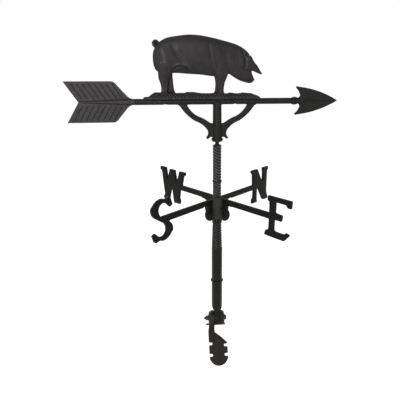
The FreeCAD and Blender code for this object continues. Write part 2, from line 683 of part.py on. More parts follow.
def ridge_bolt():
    """Bolt, nut and washers that clamp the feet to the tongue."""
    left_face = f"({FRONT_STACK} + running_gap)"
    right_face = f"({REAR_STACK} + running_gap)"
    head_face = f"({right_face} + washer_t)"
    nut_face = f"({left_face} + washer_t + lock_t)"
    body = new_body("bolt_body")
    reach = f"({nut_face} + nut_h + bolt_over)"
    shaft = round_outline(body, "YZ_Plane", "bolt_shaft", "bolt_d", lift=f"({head_face} - {reach}) / 2")
    pad(body, shaft, f"{head_face} + {reach}")
    pad(body, hexagon(body, "bolt_head", f"{head_face} + bolt_head_h / 2"), "bolt_head_h")
    finish(body, "ridge_bolt", BOLT_Z)
    body = new_body("nut_body")
    pad(body, hexagon(body, "nut_form", f"-({nut_face} + nut_h / 2)"), "nut_h")
    pocket(body, round_outline(body, "YZ_Plane", "nut_thread", "bolt_d + 2 * seat_gap"))
    finish(body, "ridge_nut", BOLT_Z)
    right = ring_piece("washer_right", "washer_d", "washer_t", f"{right_face} + washer_t / 2")
    left = ring_piece("washer_left", "washer_d", "washer_t", f"-({left_face} + washer_t / 2)")
    pair = doc.addObject("Part::Compound", "washers")
    pair.Links = [right, left]
    finish(pair, "flat_washers", BOLT_Z)
    body = ring_piece("lock_body", "lock_d", "lock_t", f"-({left_face} + washer_t + lock_t / 2)")
    slit = [
        ("-lock_slit / 2", "0"),
        ("lock_slit / 2", "0"),
        ("lock_slit / 2", "lock_d"),
        ("-lock_slit / 2", "lock_d"),
    ]
    pocket(body, outline(body, "YZ_Plane", "lock_slit_form", slit))
    finish(body, "lock_washer", BOLT_Z)


# Outer and inner edges of a brace, in percent of its reach and height.
BRACE_OUTER_SHARES = [
    (100, -7.2), (93.3, -11.4), (76.7, -33.5, VIA), (55.6, -51), (38.3, -60.5, VIA),
    (24.4, -76.6), (23.3, -85, VIA), (28.9, -96.4), (25, -100), (16.7, -94), (10, -95.2),
]
BRACE_INNER_SHARES = [
    (10, -59.2), (19, -55.6), (34.6, -44.8, VIA), (47.5, -39), (62.8, -27.4, VIA), (74.9, -9.4),
]


def arrow_frame():
    """Cast frame of the vane: round rail, stem with flange, and two curved braces."""
    body = new_body("frame_casting")
    rail = [
        ("-rail_back - spigot_l", "0"),
        ("-rail_back - spigot_l", "spigot_d / 2"),
        ("-rail_back", "spigot_d / 2"),
        ("-rail_back", "rail_d / 2"),
        ("rail_front", "rail_d / 2"),
        ("rail_front", "spigot_d / 2"),
        ("rail_front + spigot_l", "spigot_d / 2"),
        ("rail_front + spigot_l", "0"),
    ]
    turn_about(body, outline(body, "XZ_Plane", "rail_profile", rail), "H_Axis")
    flange_top = "flange_h - stem_l"
    stem = [
        ("0", "0"),
        ("stem_d / 2", "0"),
        ("stem_foot_d / 2", flange_top),
        ("flange_d / 2 - flange_cut / 2", flange_top),
        ("flange_d / 2", f"{flange_top} - flange_cut / 2"),
        ("flange_d / 2", "flange_cut - stem_l"),
        ("flange_d / 2 - flange_cut", "-stem_l"),
        ("0", "-stem_l"),
    ]
    turn_about(body, outline(body, "XZ_Plane", "stem_profile", stem), "V_Axis")
    for way, side in (("fore", 1), ("aft", -1)):
        brace = scaled(BRACE_OUTER_SHARES, "brace_reach", "brace_h", side=side)
        brace += [("0", brace[-1][1]), ("0", scaled(BRACE_INNER_SHARES, "brace_reach", "brace_h")[0][1])]
        brace += scaled(BRACE_INNER_SHARES, "brace_reach", "brace_h", side=side)
        brace += [(brace[-1][0], "0"), (brace[0][0], "0")]
        pad(body, outline(body, "XZ_Plane", f"brace_{way}", brace), "brace_t")
    bore = [
        ("0", "-stem_l - overrun"),
        ("bushing_d / 2", "-stem_l - overrun"),
        ("bushing_d / 2", "bushing_l - stem_l"),
        ("rod_d / 2 + rod_play", "bushing_l - stem_l"),
        ("rod_d / 2 + rod_play", "-bore_top"),
        ("0", "-bore_top"),
    ]
    turn_about(body, outline(body, "XZ_Plane", "stem_bore", bore), "V_Axis", "Groove")
    for way, place in (("rear", "-screw_back"), ("front", "screw_fore")):
        hole = round_outline(body, "XY_Plane", f"screw_hole_{way}", "screw_d + 2 * seat_gap", place)
        pocket(body, hole, "rail_d * 2")
        well = round_outline(body, "XY_Plane", f"screw_well_{way}", "screw_head_d + 2 * seat_gap", place,
                             lift="screw_sink + screw_head_h - rail_d / 2")
        pocket(body, well, "rail_d", one_way=True)
    pin = round_outline(body, "XZ_Plane", "frame_pin_hole", "pin_d + 2 * seat_gap",
                        "-rail_back - spigot_l / 2")
    pocket(body, pin)
    finish(body, "arrow_frame", RAIL_Z)


def ornament_screws():
    """Two screws up through the rail into the figure."""
    screws = []
    for way, place in (("rear", "-screw_back"), ("front", "screw_fore")):
        body = new_body(f"screw_{way}")
        head_foot = "screw_sink - rail_d / 2"
        form = [
            ("0", head_foot),
            ("screw_head_d / 2", head_foot),
            ("screw_head_d / 2", f"{head_foot} + screw_head_h"),
            ("screw_d / 2", f"{head_foot} + screw_head_h"),
            ("screw_d / 2", "rail_d / 2 + screw_reach"),
            ("0", "rail_d / 2 + screw_reach"),
        ]
        turn_about(body, outline(body, "XZ_Plane", f"screw_{way}_profile", form), "V_Axis")
        bind(body, Placement__Base__x=place)
        screws.append(body)
    pair = doc.addObject("Part::Compound", "screws")
    pair.Links = screws
    finish(pair, "ornament_screws", RAIL_Z)


# Upper half of the fletching, from its root to its notch, in percent of its length and half height.
TAIL_SHARES = [
    (2, 14.4), (8, 20, VIA), (12, 31), (25.5, 83), (29, 95, VIA), (34, 100), (100, 100),
]
SPINE_SHARES = [(0, 100), (13, 95), (46, 63), (81, 32)]


def tail_fletching():
    """Cast fletching: a thin notched plate with grooves, on a tapering spine."""
    body = new_body("tail_casting")
    upper = scaled(TAIL_SHARES, "-tail_l", "tail_h / 2", "-rail_back")
    lower = [(point[0], f"-({point[1]})") + point[2:] for point in reversed(upper)]
    notch = ("-rail_back - notch_l", "0")
    plate = upper + [notch] + lower
    pad(body, outline(body, "XZ_Plane", "vane_plate", plate), "tail_t")
    spine = scaled(SPINE_SHARES, "-tail_l", "rail_d / 2", "-rail_back")
    spine = [("-rail_back", "0")] + spine + [(spine[-1][0], "0")]
    turn_about(body, outline(body, "XZ_Plane", "spine_profile", spine), "H_Axis")
    socket = round_outline(body, "YZ_Plane", "tail_socket", "spigot_d + 2 * seat_gap", lift="-rail_back")
    pocket(body, socket, "spigot_l + seat_gap", one_way=True)
    slant = "(tail_l - notch_l) / (tail_h / 2)"
    inner = "rail_d / 2"
    outer = "(tail_h / 2 - groove_end)"
    for half, sign in (("upper", 1), ("lower", -1)):
        for face, way in (("near", 1), ("far", -1)):
            first = "-rail_back - notch_l + groove_edge"
            groove = [
                (f"{first} - {inner} * {slant}", f"{sign} * {inner}"),
                (f"{first} - {inner} * {slant} + groove_w", f"{sign} * {inner}"),
                (f"{first} - {outer} * {slant} + groove_w", f"{sign} * {outer}"),
                (f"{first} - {outer} * {slant}", f"{sign} * {outer}"),
            ]
            sketch = outline(body, "XZ_Plane", f"groove_{half}_{face}", groove,
                             f"{way} * (tail_t / 2 - groove_depth / 2)")
            one = pocket(body, sketch, "groove_depth")
            row_of = body.newObject("PartDesign::LinearPattern", f"grooves_{half}_{face}")
            row_of.Originals = [one]
            row_of.Direction = (sketch, ["H_Axis"])
            bind(row_of, Length="groove_pitch * (groove_count - 1)", Occurrences="groove_count")
            body.Tip = row_of
    pin = round_outline(body, "XZ_Plane", "tail_pin_hole", "pin_d + 2 * seat_gap",
                        "-rail_back - spigot_l / 2")
    pocket(body, pin)
    finish(body, "tail_fletching", RAIL_Z)
    bar = cylinder("pin", "pin_d", "pin_l", "-rail_back - spigot_l / 2", "pin_l / 2", RAIL_Z, (1, 0, 0), 90)
    bar.Label = "tail_pin"


# Upper half of the head, from its barb to its tip, in percent of its length and half height.
HEAD_SHARES = [
    (13.5, 21), (18, 30, VIA), (17, 55), (14.5, 73, VIA), (9.5, 90), (9.2, 98, VIA), (13, 100),
    (55, 70.5, VIA), (100, 0),
]


def arrow_head():
    """Cast head: barbed plate with a faint ridge, on a swelling collar."""
    body = new_body("head_casting")
    upper = scaled(HEAD_SHARES, "head_l", "head_h / 2", "rail_front")
    lower = [(point[0], f"-({point[1]})") + point[2:] for point in reversed(upper[:-1])]
    pad(body, outline(body, "XZ_Plane", "head_plate", upper + lower), "head_t")
    collar = [
        ("rail_front", "0"),
        ("rail_front", "rail_d / 2 + seat_gap"),
        ("rail_front + knob_l / 2", "knob_d / 2", VIA),
        ("rail_front + knob_l", "rail_d / 2"),
        ("rail_front + head_ridge", "head_t / 2"),
        ("rail_front + head_ridge", "0"),
    ]
    turn_about(body, outline(body, "XZ_Plane", "collar_profile", collar), "H_Axis")
    socket = round_outline(body, "YZ_Plane", "head_socket", "spigot_d + 2 * seat_gap", lift="rail_front")
    pocket(body, socket, "spigot_l + seat_gap", one_way=True, onward=True)
    tapped = round_outline(body, "XY_Plane", "head_tapped", "set_d + 2 * seat_gap", "rail_front + knob_l / 2")
    pocket(body, tapped, one_way=True)
    finish(body, "arrow_head", RAIL_Z)
    foot_z = f"{RAIL_Z} - knob_d / 2"
    screw = cylinder("set_screw", "set_d", "(knob_d - spigot_d) / 2 - seat_gap",
                     "rail_front + knob_l / 2", "0", foot_z)
    screw.Label = "head_set_screw"


# Sections of the pig: the two ends of an oval across it, then its half width.
# Places along it are percent of its length, heights percent of its height, widths of its thickness.
TRUNK_SHARES = [
    (-63, 62.2, -63, 69, 7), (-62.3, 54.5, -62.3, 75.5, 21), (-60.3, 48, -60.3, 81.5, 33.5),
    (-56, 44.4, -56, 89.5, 43.5), (-49, 43.6, -49, 95.3, 48.5), (-40, 43.9, -40, 98, 49.5),
    (-28.2, 42.5, -28.2, 100.2, 50), (-16.4, 41.4, -16.4, 99.2, 50), (-5.5, 39, -5.5, 96.2, 50),
    (2.7, 38.8, 2.7, 93.2, 48.5), (10.9, 42.5, 12.7, 89.2, 44.5), (16.4, 37.6, 20.5, 85.2, 40),
    (21.8, 33, 27.3, 79, 37), (25.9, 30.6, 31.8, 72, 33), (29, 29.2, 34, 62.5, 28.5),
    (31, 28.4, 34.3, 52, 23.5), (32.7, 28.1, 35.1, 43, 19), (34.6, 28.4, 38, 33.3, 15),
]
# Sections of the legs: height, rear edge, front edge, half width.
LEG_SHARES = {
    "near_hind": (-21, [
        (60, -60.4, -43.8, 28), (47, -58.7, -45, 23), (36.7, -58.3, -47.7, 18),
        (29.5, -56.9, -49, 15), (21.5, -56, -49.6, 12.5), (16, -56.4, -50, 13.5),
        (11, -57, -49.5, 17),
    ]),
    "far_hind": (21, [
        (50.5, -53, -44.2, 21.5), (44.7, -51, -44.4, 19.5), (36, -50.2, -44.3, 17),
        (26.5, -50.2, -43.9, 15), (19.3, -50.1, -43.4, 13.5), (15, -50.1, -42.5, 14.3),
        (11, -50.1, -41.7, 16.4),
    ]),
    "near_fore": (-21, [
        (55.6, -4.7, 12.2, 28), (45.5, -3.3, 10.9, 25), (39.6, -2.4, 10, 21.5),
        (34.5, -1.3, 8.7, 18), (29.5, 0, 7.4, 15.7), (23.6, 0.8, 6.7, 14.3), (17.8, 1, 6.3, 13),
        (14, 1, 6.8, 14.3), (11, 0.5, 7.3, 16.4),
    ]),
    "far_fore": (21, [
        (45.5, -3.7, 6.2, 21.5), (35.3, -2.4, 3.7, 18), (28.7, -1.7, 3, 15), (22.2, -1.9, 2.8, 13.5),
        (16.4, -2.4, 2.4, 12.5), (13.5, -3.1, 2, 14.3), (11, -3.6, 2, 15.7),
    ]),
}
# Sections of an ear: the two ends of an oval across it, then its place off the middle and half width.
EAR_SHARES = [
    (27, 53, 28, 68.7, 32, 5.4), (29, 46.8, 32.6, 70, 30.7, 10.7), (33.5, 46.8, 36.3, 61.2, 26.8, 10.7),
    (37, 46.4, 39.7, 55.3, 21.4, 8.6), (40.4, 43.8, 42.7, 48.6, 16, 6), (44.8, 41.2, 45.6, 42.5, 13, 2),
]
GRASS_SHARES = [
    (-74.5, 5), (-73.5, 7.6), (-69, 8), (-67.4, 10.4), (-65, 13), (-62.7, 14.8), (-57.3, 14.6),
    (-42, 13.6), (-33.3, 13.7), (-31, 15.1), (-24.2, 15), (-16.5, 13.1), (-8.3, 12.8), (-2.9, 13.4),
    (6.2, 13), (10, 12.4), (13.5, 14.2), (15.8, 13.1), (21.2, 12.4), (25.8, 13.7), (34.9, 12.8),
    (37, 11.2), (40.8, 9.4), (42.5, 8.2), (44.5, 5.4),
]
CURL_SHARE = (-59.7, 87.5)
CURL_TIP_SHARE = 0.62


def oval(low_x, low_z, high_x, high_z, across, half_width):
    """Corners of an oval across the pig, between two points of its middle plane."""
    low = Vector(size("pig_l") * low_x / 100, size("pig_t") * across / 100, size("pig_h") * low_z / 100)
    high = Vector(size("pig_l") * high_x / 100, low.y, size("pig_h") * high_z / 100)
    side = Vector(0, size("pig_t") * half_width / 100, 0)
    corners = 20
    turns = [math.tau * corner / corners for corner in range(corners)]
    return [(low + high) / 2 + (high - low) / 2 * math.cos(turn) + side * math.sin(turn) for turn in turns]


def swelling(name, shares):
    """A rounded form through ovals, with one more oval on the curve between each two."""
    rings = [oval(*share) for share in shares]
    ends = [rings[0], *rings, rings[-1]]
    smooth = rings[:1]
    for before, start, stop, after in zip(ends, ends[1:], ends[2:], ends[3:]):
        spots = zip(before, start, stop, after)
        middle = [((second + third) * 9 - first - fourth) / 16 for first, second, third, fourth in spots]
        smooth.append(middle)
        smooth.append(stop)
    return skinned(name, smooth)


def curled_tail():
    """The tail, wound inwards from the rump down, back and over, and thinner towards its tip."""
    middle = Vector(size("pig_l") * CURL_SHARE[0] / 100, 0, size("pig_h") * CURL_SHARE[1] / 100)
    across = Vector(0, 1, 0)
    corners = 10
    root_turn = -60
    steps_a_turn = 16
    steps = 17
    rings = []
    for step in range(steps + 1):
        turns = step / steps_a_turn
        turn = math.radians(root_turn - 360 * turns)
        out = Vector(math.cos(turn), 0, math.sin(turn))
        spot = middle + out * (size("curl_r") - size("curl_pitch") * turns)
        spot += across * size("curl_side") * (turns - 1 / 2)
        reach = size("curl_wire") / 2 * (1 - (1 - CURL_TIP_SHARE) * step / steps)
        angles = [math.tau * corner / corners for corner in range(corners)]
        rings.append([spot + (out * math.cos(angle) + across * math.sin(angle)) * reach for angle in angles])
    return skinned("curled_tail", rings)


def pig_figure():
    """Cast pig with its four legs, hanging ears and curled tail, on a strip of grass."""
    forms = [swelling("trunk", [share[:4] + (0, share[4]) for share in TRUNK_SHARES])]
    for name, (across, rows) in LEG_SHARES.items():
        forms.append(swelling(name, [(rear, up, front, up, across, wide) for up, rear, front, wide in rows]))
    for name, side in (("near_ear", -1), ("far_ear", 1)):
        forms.append(swelling(name, [share[:4] + (side * share[4], share[5]) for share in EAR_SHARES]))
    body = new_body("grass")
    strip = scaled(GRASS_SHARES, "pig_l", "pig_h")
    strip = [(strip[0][0], "saddle")] + strip + [(strip[-1][0], "saddle")]
    pad(body, outline(body, "XZ_Plane", "grass_profile", strip), "grass_t")
    forms.append(body)
    forms.append(curled_tail())
    rail = cylinder("rail_room", "rail_d + 2 * seat_gap", "pig_l * 2", "-pig_l", "0", "0", (0, 1, 0), 90)
    tools = [rail]
    for way, place in (("rear", "-screw_back"), ("front", "screw_fore")):
        tools.append(cylinder(f"figure_hole_{way}", "screw_d + 2 * seat_gap",
                              "rail_d / 2 + screw_reach + seat_gap", place))
    doc.recompute()
    whole = doc.addObject("Part::Feature", "pig_whole")
    whole.Shape = functools.reduce(lambda joined, form: joined.fuse(form.Shape), forms[1:], forms[0].Shape)
    whole = cut("pig_cut", whole, fuse("pig_tools", tools))
    finish(whole, "pig_figure", RAIL_Z)


lower_mast()
upper_tube()
spindle()
compass()
foot("front_foot", 0, "front_slope", "front_ear_t", FRONT_STACK)
foot("rear_foot", 180, "-rear_slope", "rear_ear_t", REAR_STACK)
ridge_bolt()
arrow_frame()
ornament_screws()
tail_fletching()
arrow_head()
pig_figure()
doc.recompute()

NODES = [
    "lower_mast", "upper_tube", "center_rod", "pivot_ball", "stem_bushing", "north_south_bar",
    "east_west_bar", "upper_hub_screw", "lower_hub_screw", "front_foot", "rear_foot", "ridge_bolt",
    "ridge_nut", "flat_washers", "lock_washer", "arrow_frame", "ornament_screws", "tail_fletching",
    "tail_pin", "arrow_head", "head_set_screw", "pig_figure",
]

for thing in doc.Objects:
    if {"Invalid", "Error"} & set(thing.State):
        raise RuntimeError(f"{thing.Name} did not recompute: {thing.State}")
pieces = {}
for label in NODES:
    piece = doc.getObjectsByLabel(label)[0]
    shape = piece.Shape
    if shape.isNull() or not shape.isValid() or not shape.Solids:
        raise RuntimeError(f"{label} has no valid solid")
    pieces[label] = shape
os.makedirs("parts", exist_ok=True)
for label, shape in pieces.items():
    shape.exportStep(f"parts/{label}.step")
    box = shape.BoundBox
    print(f"{label}: {len(shape.Solids)} solid, {shape.Volume / 1000:.2f} cm3,",
          f"x {box.XMin:.1f} {box.XMax:.1f}, y {box.YMin:.1f} {box.YMax:.1f},",
          f"z {box.ZMin:.1f} {box.ZMax:.1f}")
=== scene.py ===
"""Pig weathervane on its ridge mount: the cast figure, the twisted mast, the finishes and the stage."""
import json
import math

import bmesh
import bpy
import numpy as np
from mathutils import Matrix, Vector


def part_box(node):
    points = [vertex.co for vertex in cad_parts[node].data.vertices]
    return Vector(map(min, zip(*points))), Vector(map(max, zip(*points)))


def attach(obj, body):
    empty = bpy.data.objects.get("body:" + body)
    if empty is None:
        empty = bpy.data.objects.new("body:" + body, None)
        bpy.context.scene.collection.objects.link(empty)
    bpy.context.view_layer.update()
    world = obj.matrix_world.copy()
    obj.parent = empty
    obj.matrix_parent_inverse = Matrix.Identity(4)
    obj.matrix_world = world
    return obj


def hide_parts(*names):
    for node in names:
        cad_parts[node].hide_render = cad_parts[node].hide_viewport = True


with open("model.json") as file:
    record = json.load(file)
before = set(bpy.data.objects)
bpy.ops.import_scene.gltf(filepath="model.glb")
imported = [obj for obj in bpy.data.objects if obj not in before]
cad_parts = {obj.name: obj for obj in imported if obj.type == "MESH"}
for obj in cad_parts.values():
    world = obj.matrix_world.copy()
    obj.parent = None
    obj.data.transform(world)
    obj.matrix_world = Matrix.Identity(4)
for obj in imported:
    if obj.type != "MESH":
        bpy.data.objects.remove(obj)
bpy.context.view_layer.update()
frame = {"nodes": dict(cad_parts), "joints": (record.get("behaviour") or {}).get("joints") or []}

bl_info = {
    "name": "Pig Weathervane",
    "version": (1, 0, 0),
    "blender": (4, 5, 0),
    "location": "3D View > Sidebar > Weathervane",
    "description": "Cast figure, twisted mast and finishes of a pig weathervane on a ridge mount",
    "category": "Object",
}

MM = 0.001
JOINT_HEIGHTS = {joint["name"]: joint["pos_m"][2] for joint in frame["joints"]}
RAIL_Z = JOINT_HEIGHTS["vane_spin"]
BOLT_Z = JOINT_HEIGHTS["front_foot_fold"]
MAST_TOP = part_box("lower_mast")[1].z
TUBE_FOOT, TUBE_TOP = (corner.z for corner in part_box("upper_tube"))

# Sections of the pig: the two ends of an oval across it, its place off the middle and its half width.
# Places along it are percent of its length, heights percent of its height, widths of its thickness.
TRUNK = (
    (-63, 62.2, -63, 69, 0, 7), (-62.3, 54.5, -62.3, 75.5, 0, 21), (-60.3, 48, -60.3, 81.5, 0, 33.5),
    (-56, 44.4, -56, 89.5, 0, 43.5), (-49, 43.6, -49, 95.3, 0, 48.5), (-40, 43.9, -40, 98, 0, 49.5),
    (-28.2, 42.5, -28.2, 100.2, 0, 50), (-16.4, 41.4, -16.4, 99.2, 0, 50), (-5.5, 39, -5.5, 96.2, 0, 50),
    (2.7, 38.8, 2.7, 93.2, 0, 48.5), (10.9, 42.5, 12.7, 89.2, 0, 44.5), (16.4, 37.6, 20.5, 85.2, 0, 40),
    (21.8, 33, 27.3, 79, 0, 37), (25.9, 30.6, 31.8, 72, 0, 33), (29, 29.2, 34, 62.5, 0, 28.5),
    (31, 28.4, 34.3, 52, 0, 23.5), (32.7, 28.1, 35.1, 43, 0, 19), (34.6, 28.4, 38, 33.3, 0, 15),
)
# Sections of the legs: height, rear edge, front edge, place off the middle and half width.
NEAR_HIND_LEG = (
    (60, -60.4, -43.8, -21, 28), (47, -58.7, -45, -21, 23), (36.7, -58.3, -47.7, -21, 18),
    (29.5, -56.9, -49, -21, 15), (21.5, -56, -49.6, -21, 12.5), (16, -56.4, -50, -21, 13.5),
    (11, -57, -49.5, -21, 17),
)
FAR_HIND_LEG = (
    (50.5, -53, -44.2, 21, 21.5), (44.7, -51, -44.4, 21, 19.5), (36, -50.2, -44.3, 21, 17),
    (26.5, -51.2, -43.9, 21, 15), (19.3, -52, -43.4, 21, 13.5), (15, -52, -42.5, 21, 14.3),
    (11, -52, -41.7, 21, 16.4),
)
NEAR_FORE_LEG = (
    (55.6, -4.7, 12.2, -21, 28), (45.5, -3.3, 10.9, -21, 25), (39.6, -2.4, 10, -21, 21.5),
    (34.5, -1.3, 8.7, -21, 18), (29.5, 0, 7.4, -21, 15.7), (23.6, 0.8, 6.7, -21, 14.3),
    (17.8, 1, 6.3, -21, 13), (14, 1, 6.8, -21, 14.3), (11, 0.5, 7.3, -21, 16.4),
)
FAR_FORE_LEG = (
    (45.5, -3.7, 6.2, 21, 21.5), (35.3, -2.4, 3.7, 21, 18), (28.7, -1.7, 3, 21, 15),
    (22.2, -1.9, 2.8, 21, 13.5), (16.4, -2.4, 2.4, 21, 12.5), (13.5, -3.1, 2, 21, 14.3),
    (11, -3.6, 2, 21, 15.7),
)
EAR = (
    (27, 53, 28, 68.7, 32, 5.4), (29, 46.8, 32.6, 70, 30.7, 10.7), (33.5, 46.8, 36.3, 61.2, 26.8, 10.7),
    (37, 46.4, 39.7, 55.3, 21.4, 8.6), (40.4, 43.8, 42.7, 48.6, 16, 6), (44.8, 41.2, 45.6, 42.5, 13, 2),
)
# Top of the grass: places along it and heights, in percent of the pig's length and height.
GRASS_TOP = (
    (-74.5, 5), (-73.5, 7.6), (-69, 8), (-67.4, 10.4), (-65, 13), (-62.7, 14.8), (-57.3, 14.6),
    (-42, 13.6), (-33.3, 13.7), (-31, 15.1), (-24.2, 15), (-16.5, 13.1), (-8.3, 12.8), (-2.9, 13.4),
    (6.2, 13), (10, 12.4), (13.5, 14.2), (15.8, 13.1), (21.2, 12.4), (25.8, 13.7), (34.9, 12.8),
    (37, 11.2), (40.8, 9.4), (42.5, 8.2), (44.5, 5.4),
)
# The curled tail: its middle in percent of length and height, its turns, its first direction in degrees,
# and how far it closes and steps aside in a turn.
CURL_MIDDLE = (-59.2, 87.5)
CURL_TURNS, CURL_START, CURL_CLOSING, CURL_STEP = 1.5, -35, 4.1 * MM, 2.4 * MM
# Blades of grass: how far one leans along for its height, and size and step of the waves they sway in.
BLADE_LEAN = 1.05
BLADE_SWAYS = ((0.9 * MM, 17 * MM), (0.6 * MM, 7.3 * MM))
# Scribed lines, the sides of the fletching's rib and the middle of the head: places along the arrow and
# off its axis, in millimetres.
RIB_SIDES = (((-188, 6.6), (-300, 1.3)), ((-188, -6.6), (-300, -1.3)))
HEAD_MIDDLE = (((200, 0), (262, 0)),)
LINE_WIDTH, LINE_DEPTH = 1.1 * MM, 0.5 * MM
FLETCHING_FACE = 2.45 * MM  # half thickness of the fletching, less what the smoothing takes
# The lower mast, in millimetres: heights over the ridge bolt and radii.
TONGUE_END, TONGUE_BLEND = 26.6, 13
BEAD_HEIGHT, BEAD_HALF, BEAD_OUT = 119.6, 2.2, 2.8
NECK_FOOT = 211.6
COLLAR_HEIGHT, COLLAR_MIDDLE, COLLAR_HALF, COLLAR_OUT = 12.4, 7, 5.4, 1.0
SHANK_RADIUS, BARREL_RADIUS, NECK_RADIUS = 13.8, 13.6, 11.25
# The upper tube, in millimetres: its radius, its bead and the plain ends of its twist.
TUBE_RADIUS, TUBE_BEAD_HEIGHT, TUBE_BEAD_OUT, TUBE_PLAIN = 10.4, 38.5, 1.0, 1.5
# Between the ears and the tongue, and between the feet and the floor.
RUNNING_GAP = 0.3 * MM
# Levels in the coats' ramps between which noise runs.
NOISE_LOW, NOISE_HIGH = 0.3, 0.7
# No painted highlight on the ridges of a piece; its painted shade in the hollows stays.
NO_RIDGE_HIGHLIGHT = (0.0, 0.0, 0.0)
# Share of the coat's colour that is left in a hollow, as painted shade.
PAINTED_SHADE_SHARE = 0.12
# Distances from the mast's axis between which the painted highlight on the hub ends.
HUB_EDGE, HUB_FADE = 17 * MM, 22 * MM
STEEL, BRONZE = (0.56, 0.56, 0.57), (0.55, 0.4, 0.2)
# Camera: its place, level direction, sideways shift and width of sensor in millimetres.
CAMERA_PLACE = (-0.0887, -0.8746, 0.6818)
CAMERA_HEADING = (0.0958, 0.9954)
CAMERA_SHIFT, SENSOR = -0.038, 36
# Where the lamps point, and the name, place and size of each.
AIM = (0, 0, 0.4)
LAMPS = (
    ("key", (-0.8, -2.5, 1.15), 0.6), ("left", (-2.3, -0.9, 1.3), 1.2), ("fill", (1.4, -1.9, 0.7), 1.2),
    ("top", (0.1, 0.2, 2.4), 1.6), ("back", (-0.9, 2.3, 0.9), 1.4),
)
FLOOR_HALF, FLOOR_GLOW = 30, 0.9
# Folds of the pig's skin: depth and width in millimetres, then the line in percent of length and height.
FOLDS = {
    "flank arc": (1.5, 2.0, ((-43.4, 49.5), (-41, 52.6), (-36.9, 54.4), (-32, 52.8), (-27.6, 46.6))),
    "flank lip": (-0.6, 2.2, ((-43, 53), (-40.6, 55.4), (-36.7, 57), (-31, 55.3), (-26.2, 48.6))),
    "udder": (0.5, 2.4, ((-40, 47.4), (-36.4, 49.6), (-32.4, 48.2))),
    "ham hollow": (0.9, 6, ((-43.3, 82), (-38.6, 69), (-34, 59.5))),
    "flank streak": (-0.6, 2.9, ((-39.3, 77.5), (-33.8, 66.1), (-27.2, 54.5))),
    "ham swell": (-1.4, 8, ((-53.5, 78), (-51.5, 66), (-50, 56))),
    "shoulder": (0.6, 3.6, ((-8.3, 84), (-6.4, 66), (-5.2, 55), (-5.8, 47))),
    "shoulder blade": (-0.5, 7, ((1.2, 80), (2, 66), (3, 54))),
    "neck": (0.8, 3.2, ((8.6, 72), (9.6, 62), (10.8, 50), (12.4, 43.6))),
    "jowl": (-0.7, 5, ((15, 62), (16.4, 52), (19, 43))),
    "ear root": (1.5, 1.9, ((24, 78), (25, 73), (26.4, 66), (27, 58), (26.2, 52))),
    "nape": (-0.5, 3, ((21.6, 74), (23.2, 64), (23.4, 55))),
    "cheek": (-0.6, 3.6, ((26, 44), (29.1, 41))),
    "brow": (1.8, 1.4, ((30, 48.6), (32.2, 48))),
    "eye": (-0.45, 0.9, ((30.9, 46.4), (31.1, 46.4))),
    "mouth": (0.9, 1.1, ((30.4, 32.6), (33, 31.4), (36, 31.2))),
    "near elbow": (0.7, 2.2, ((-3.8, 47), (-2.8, 41), (-1.6, 36))),
    "near stifle": (0.7, 2.4, ((-44.6, 50), (-45.4, 43), (-47, 37))),
}


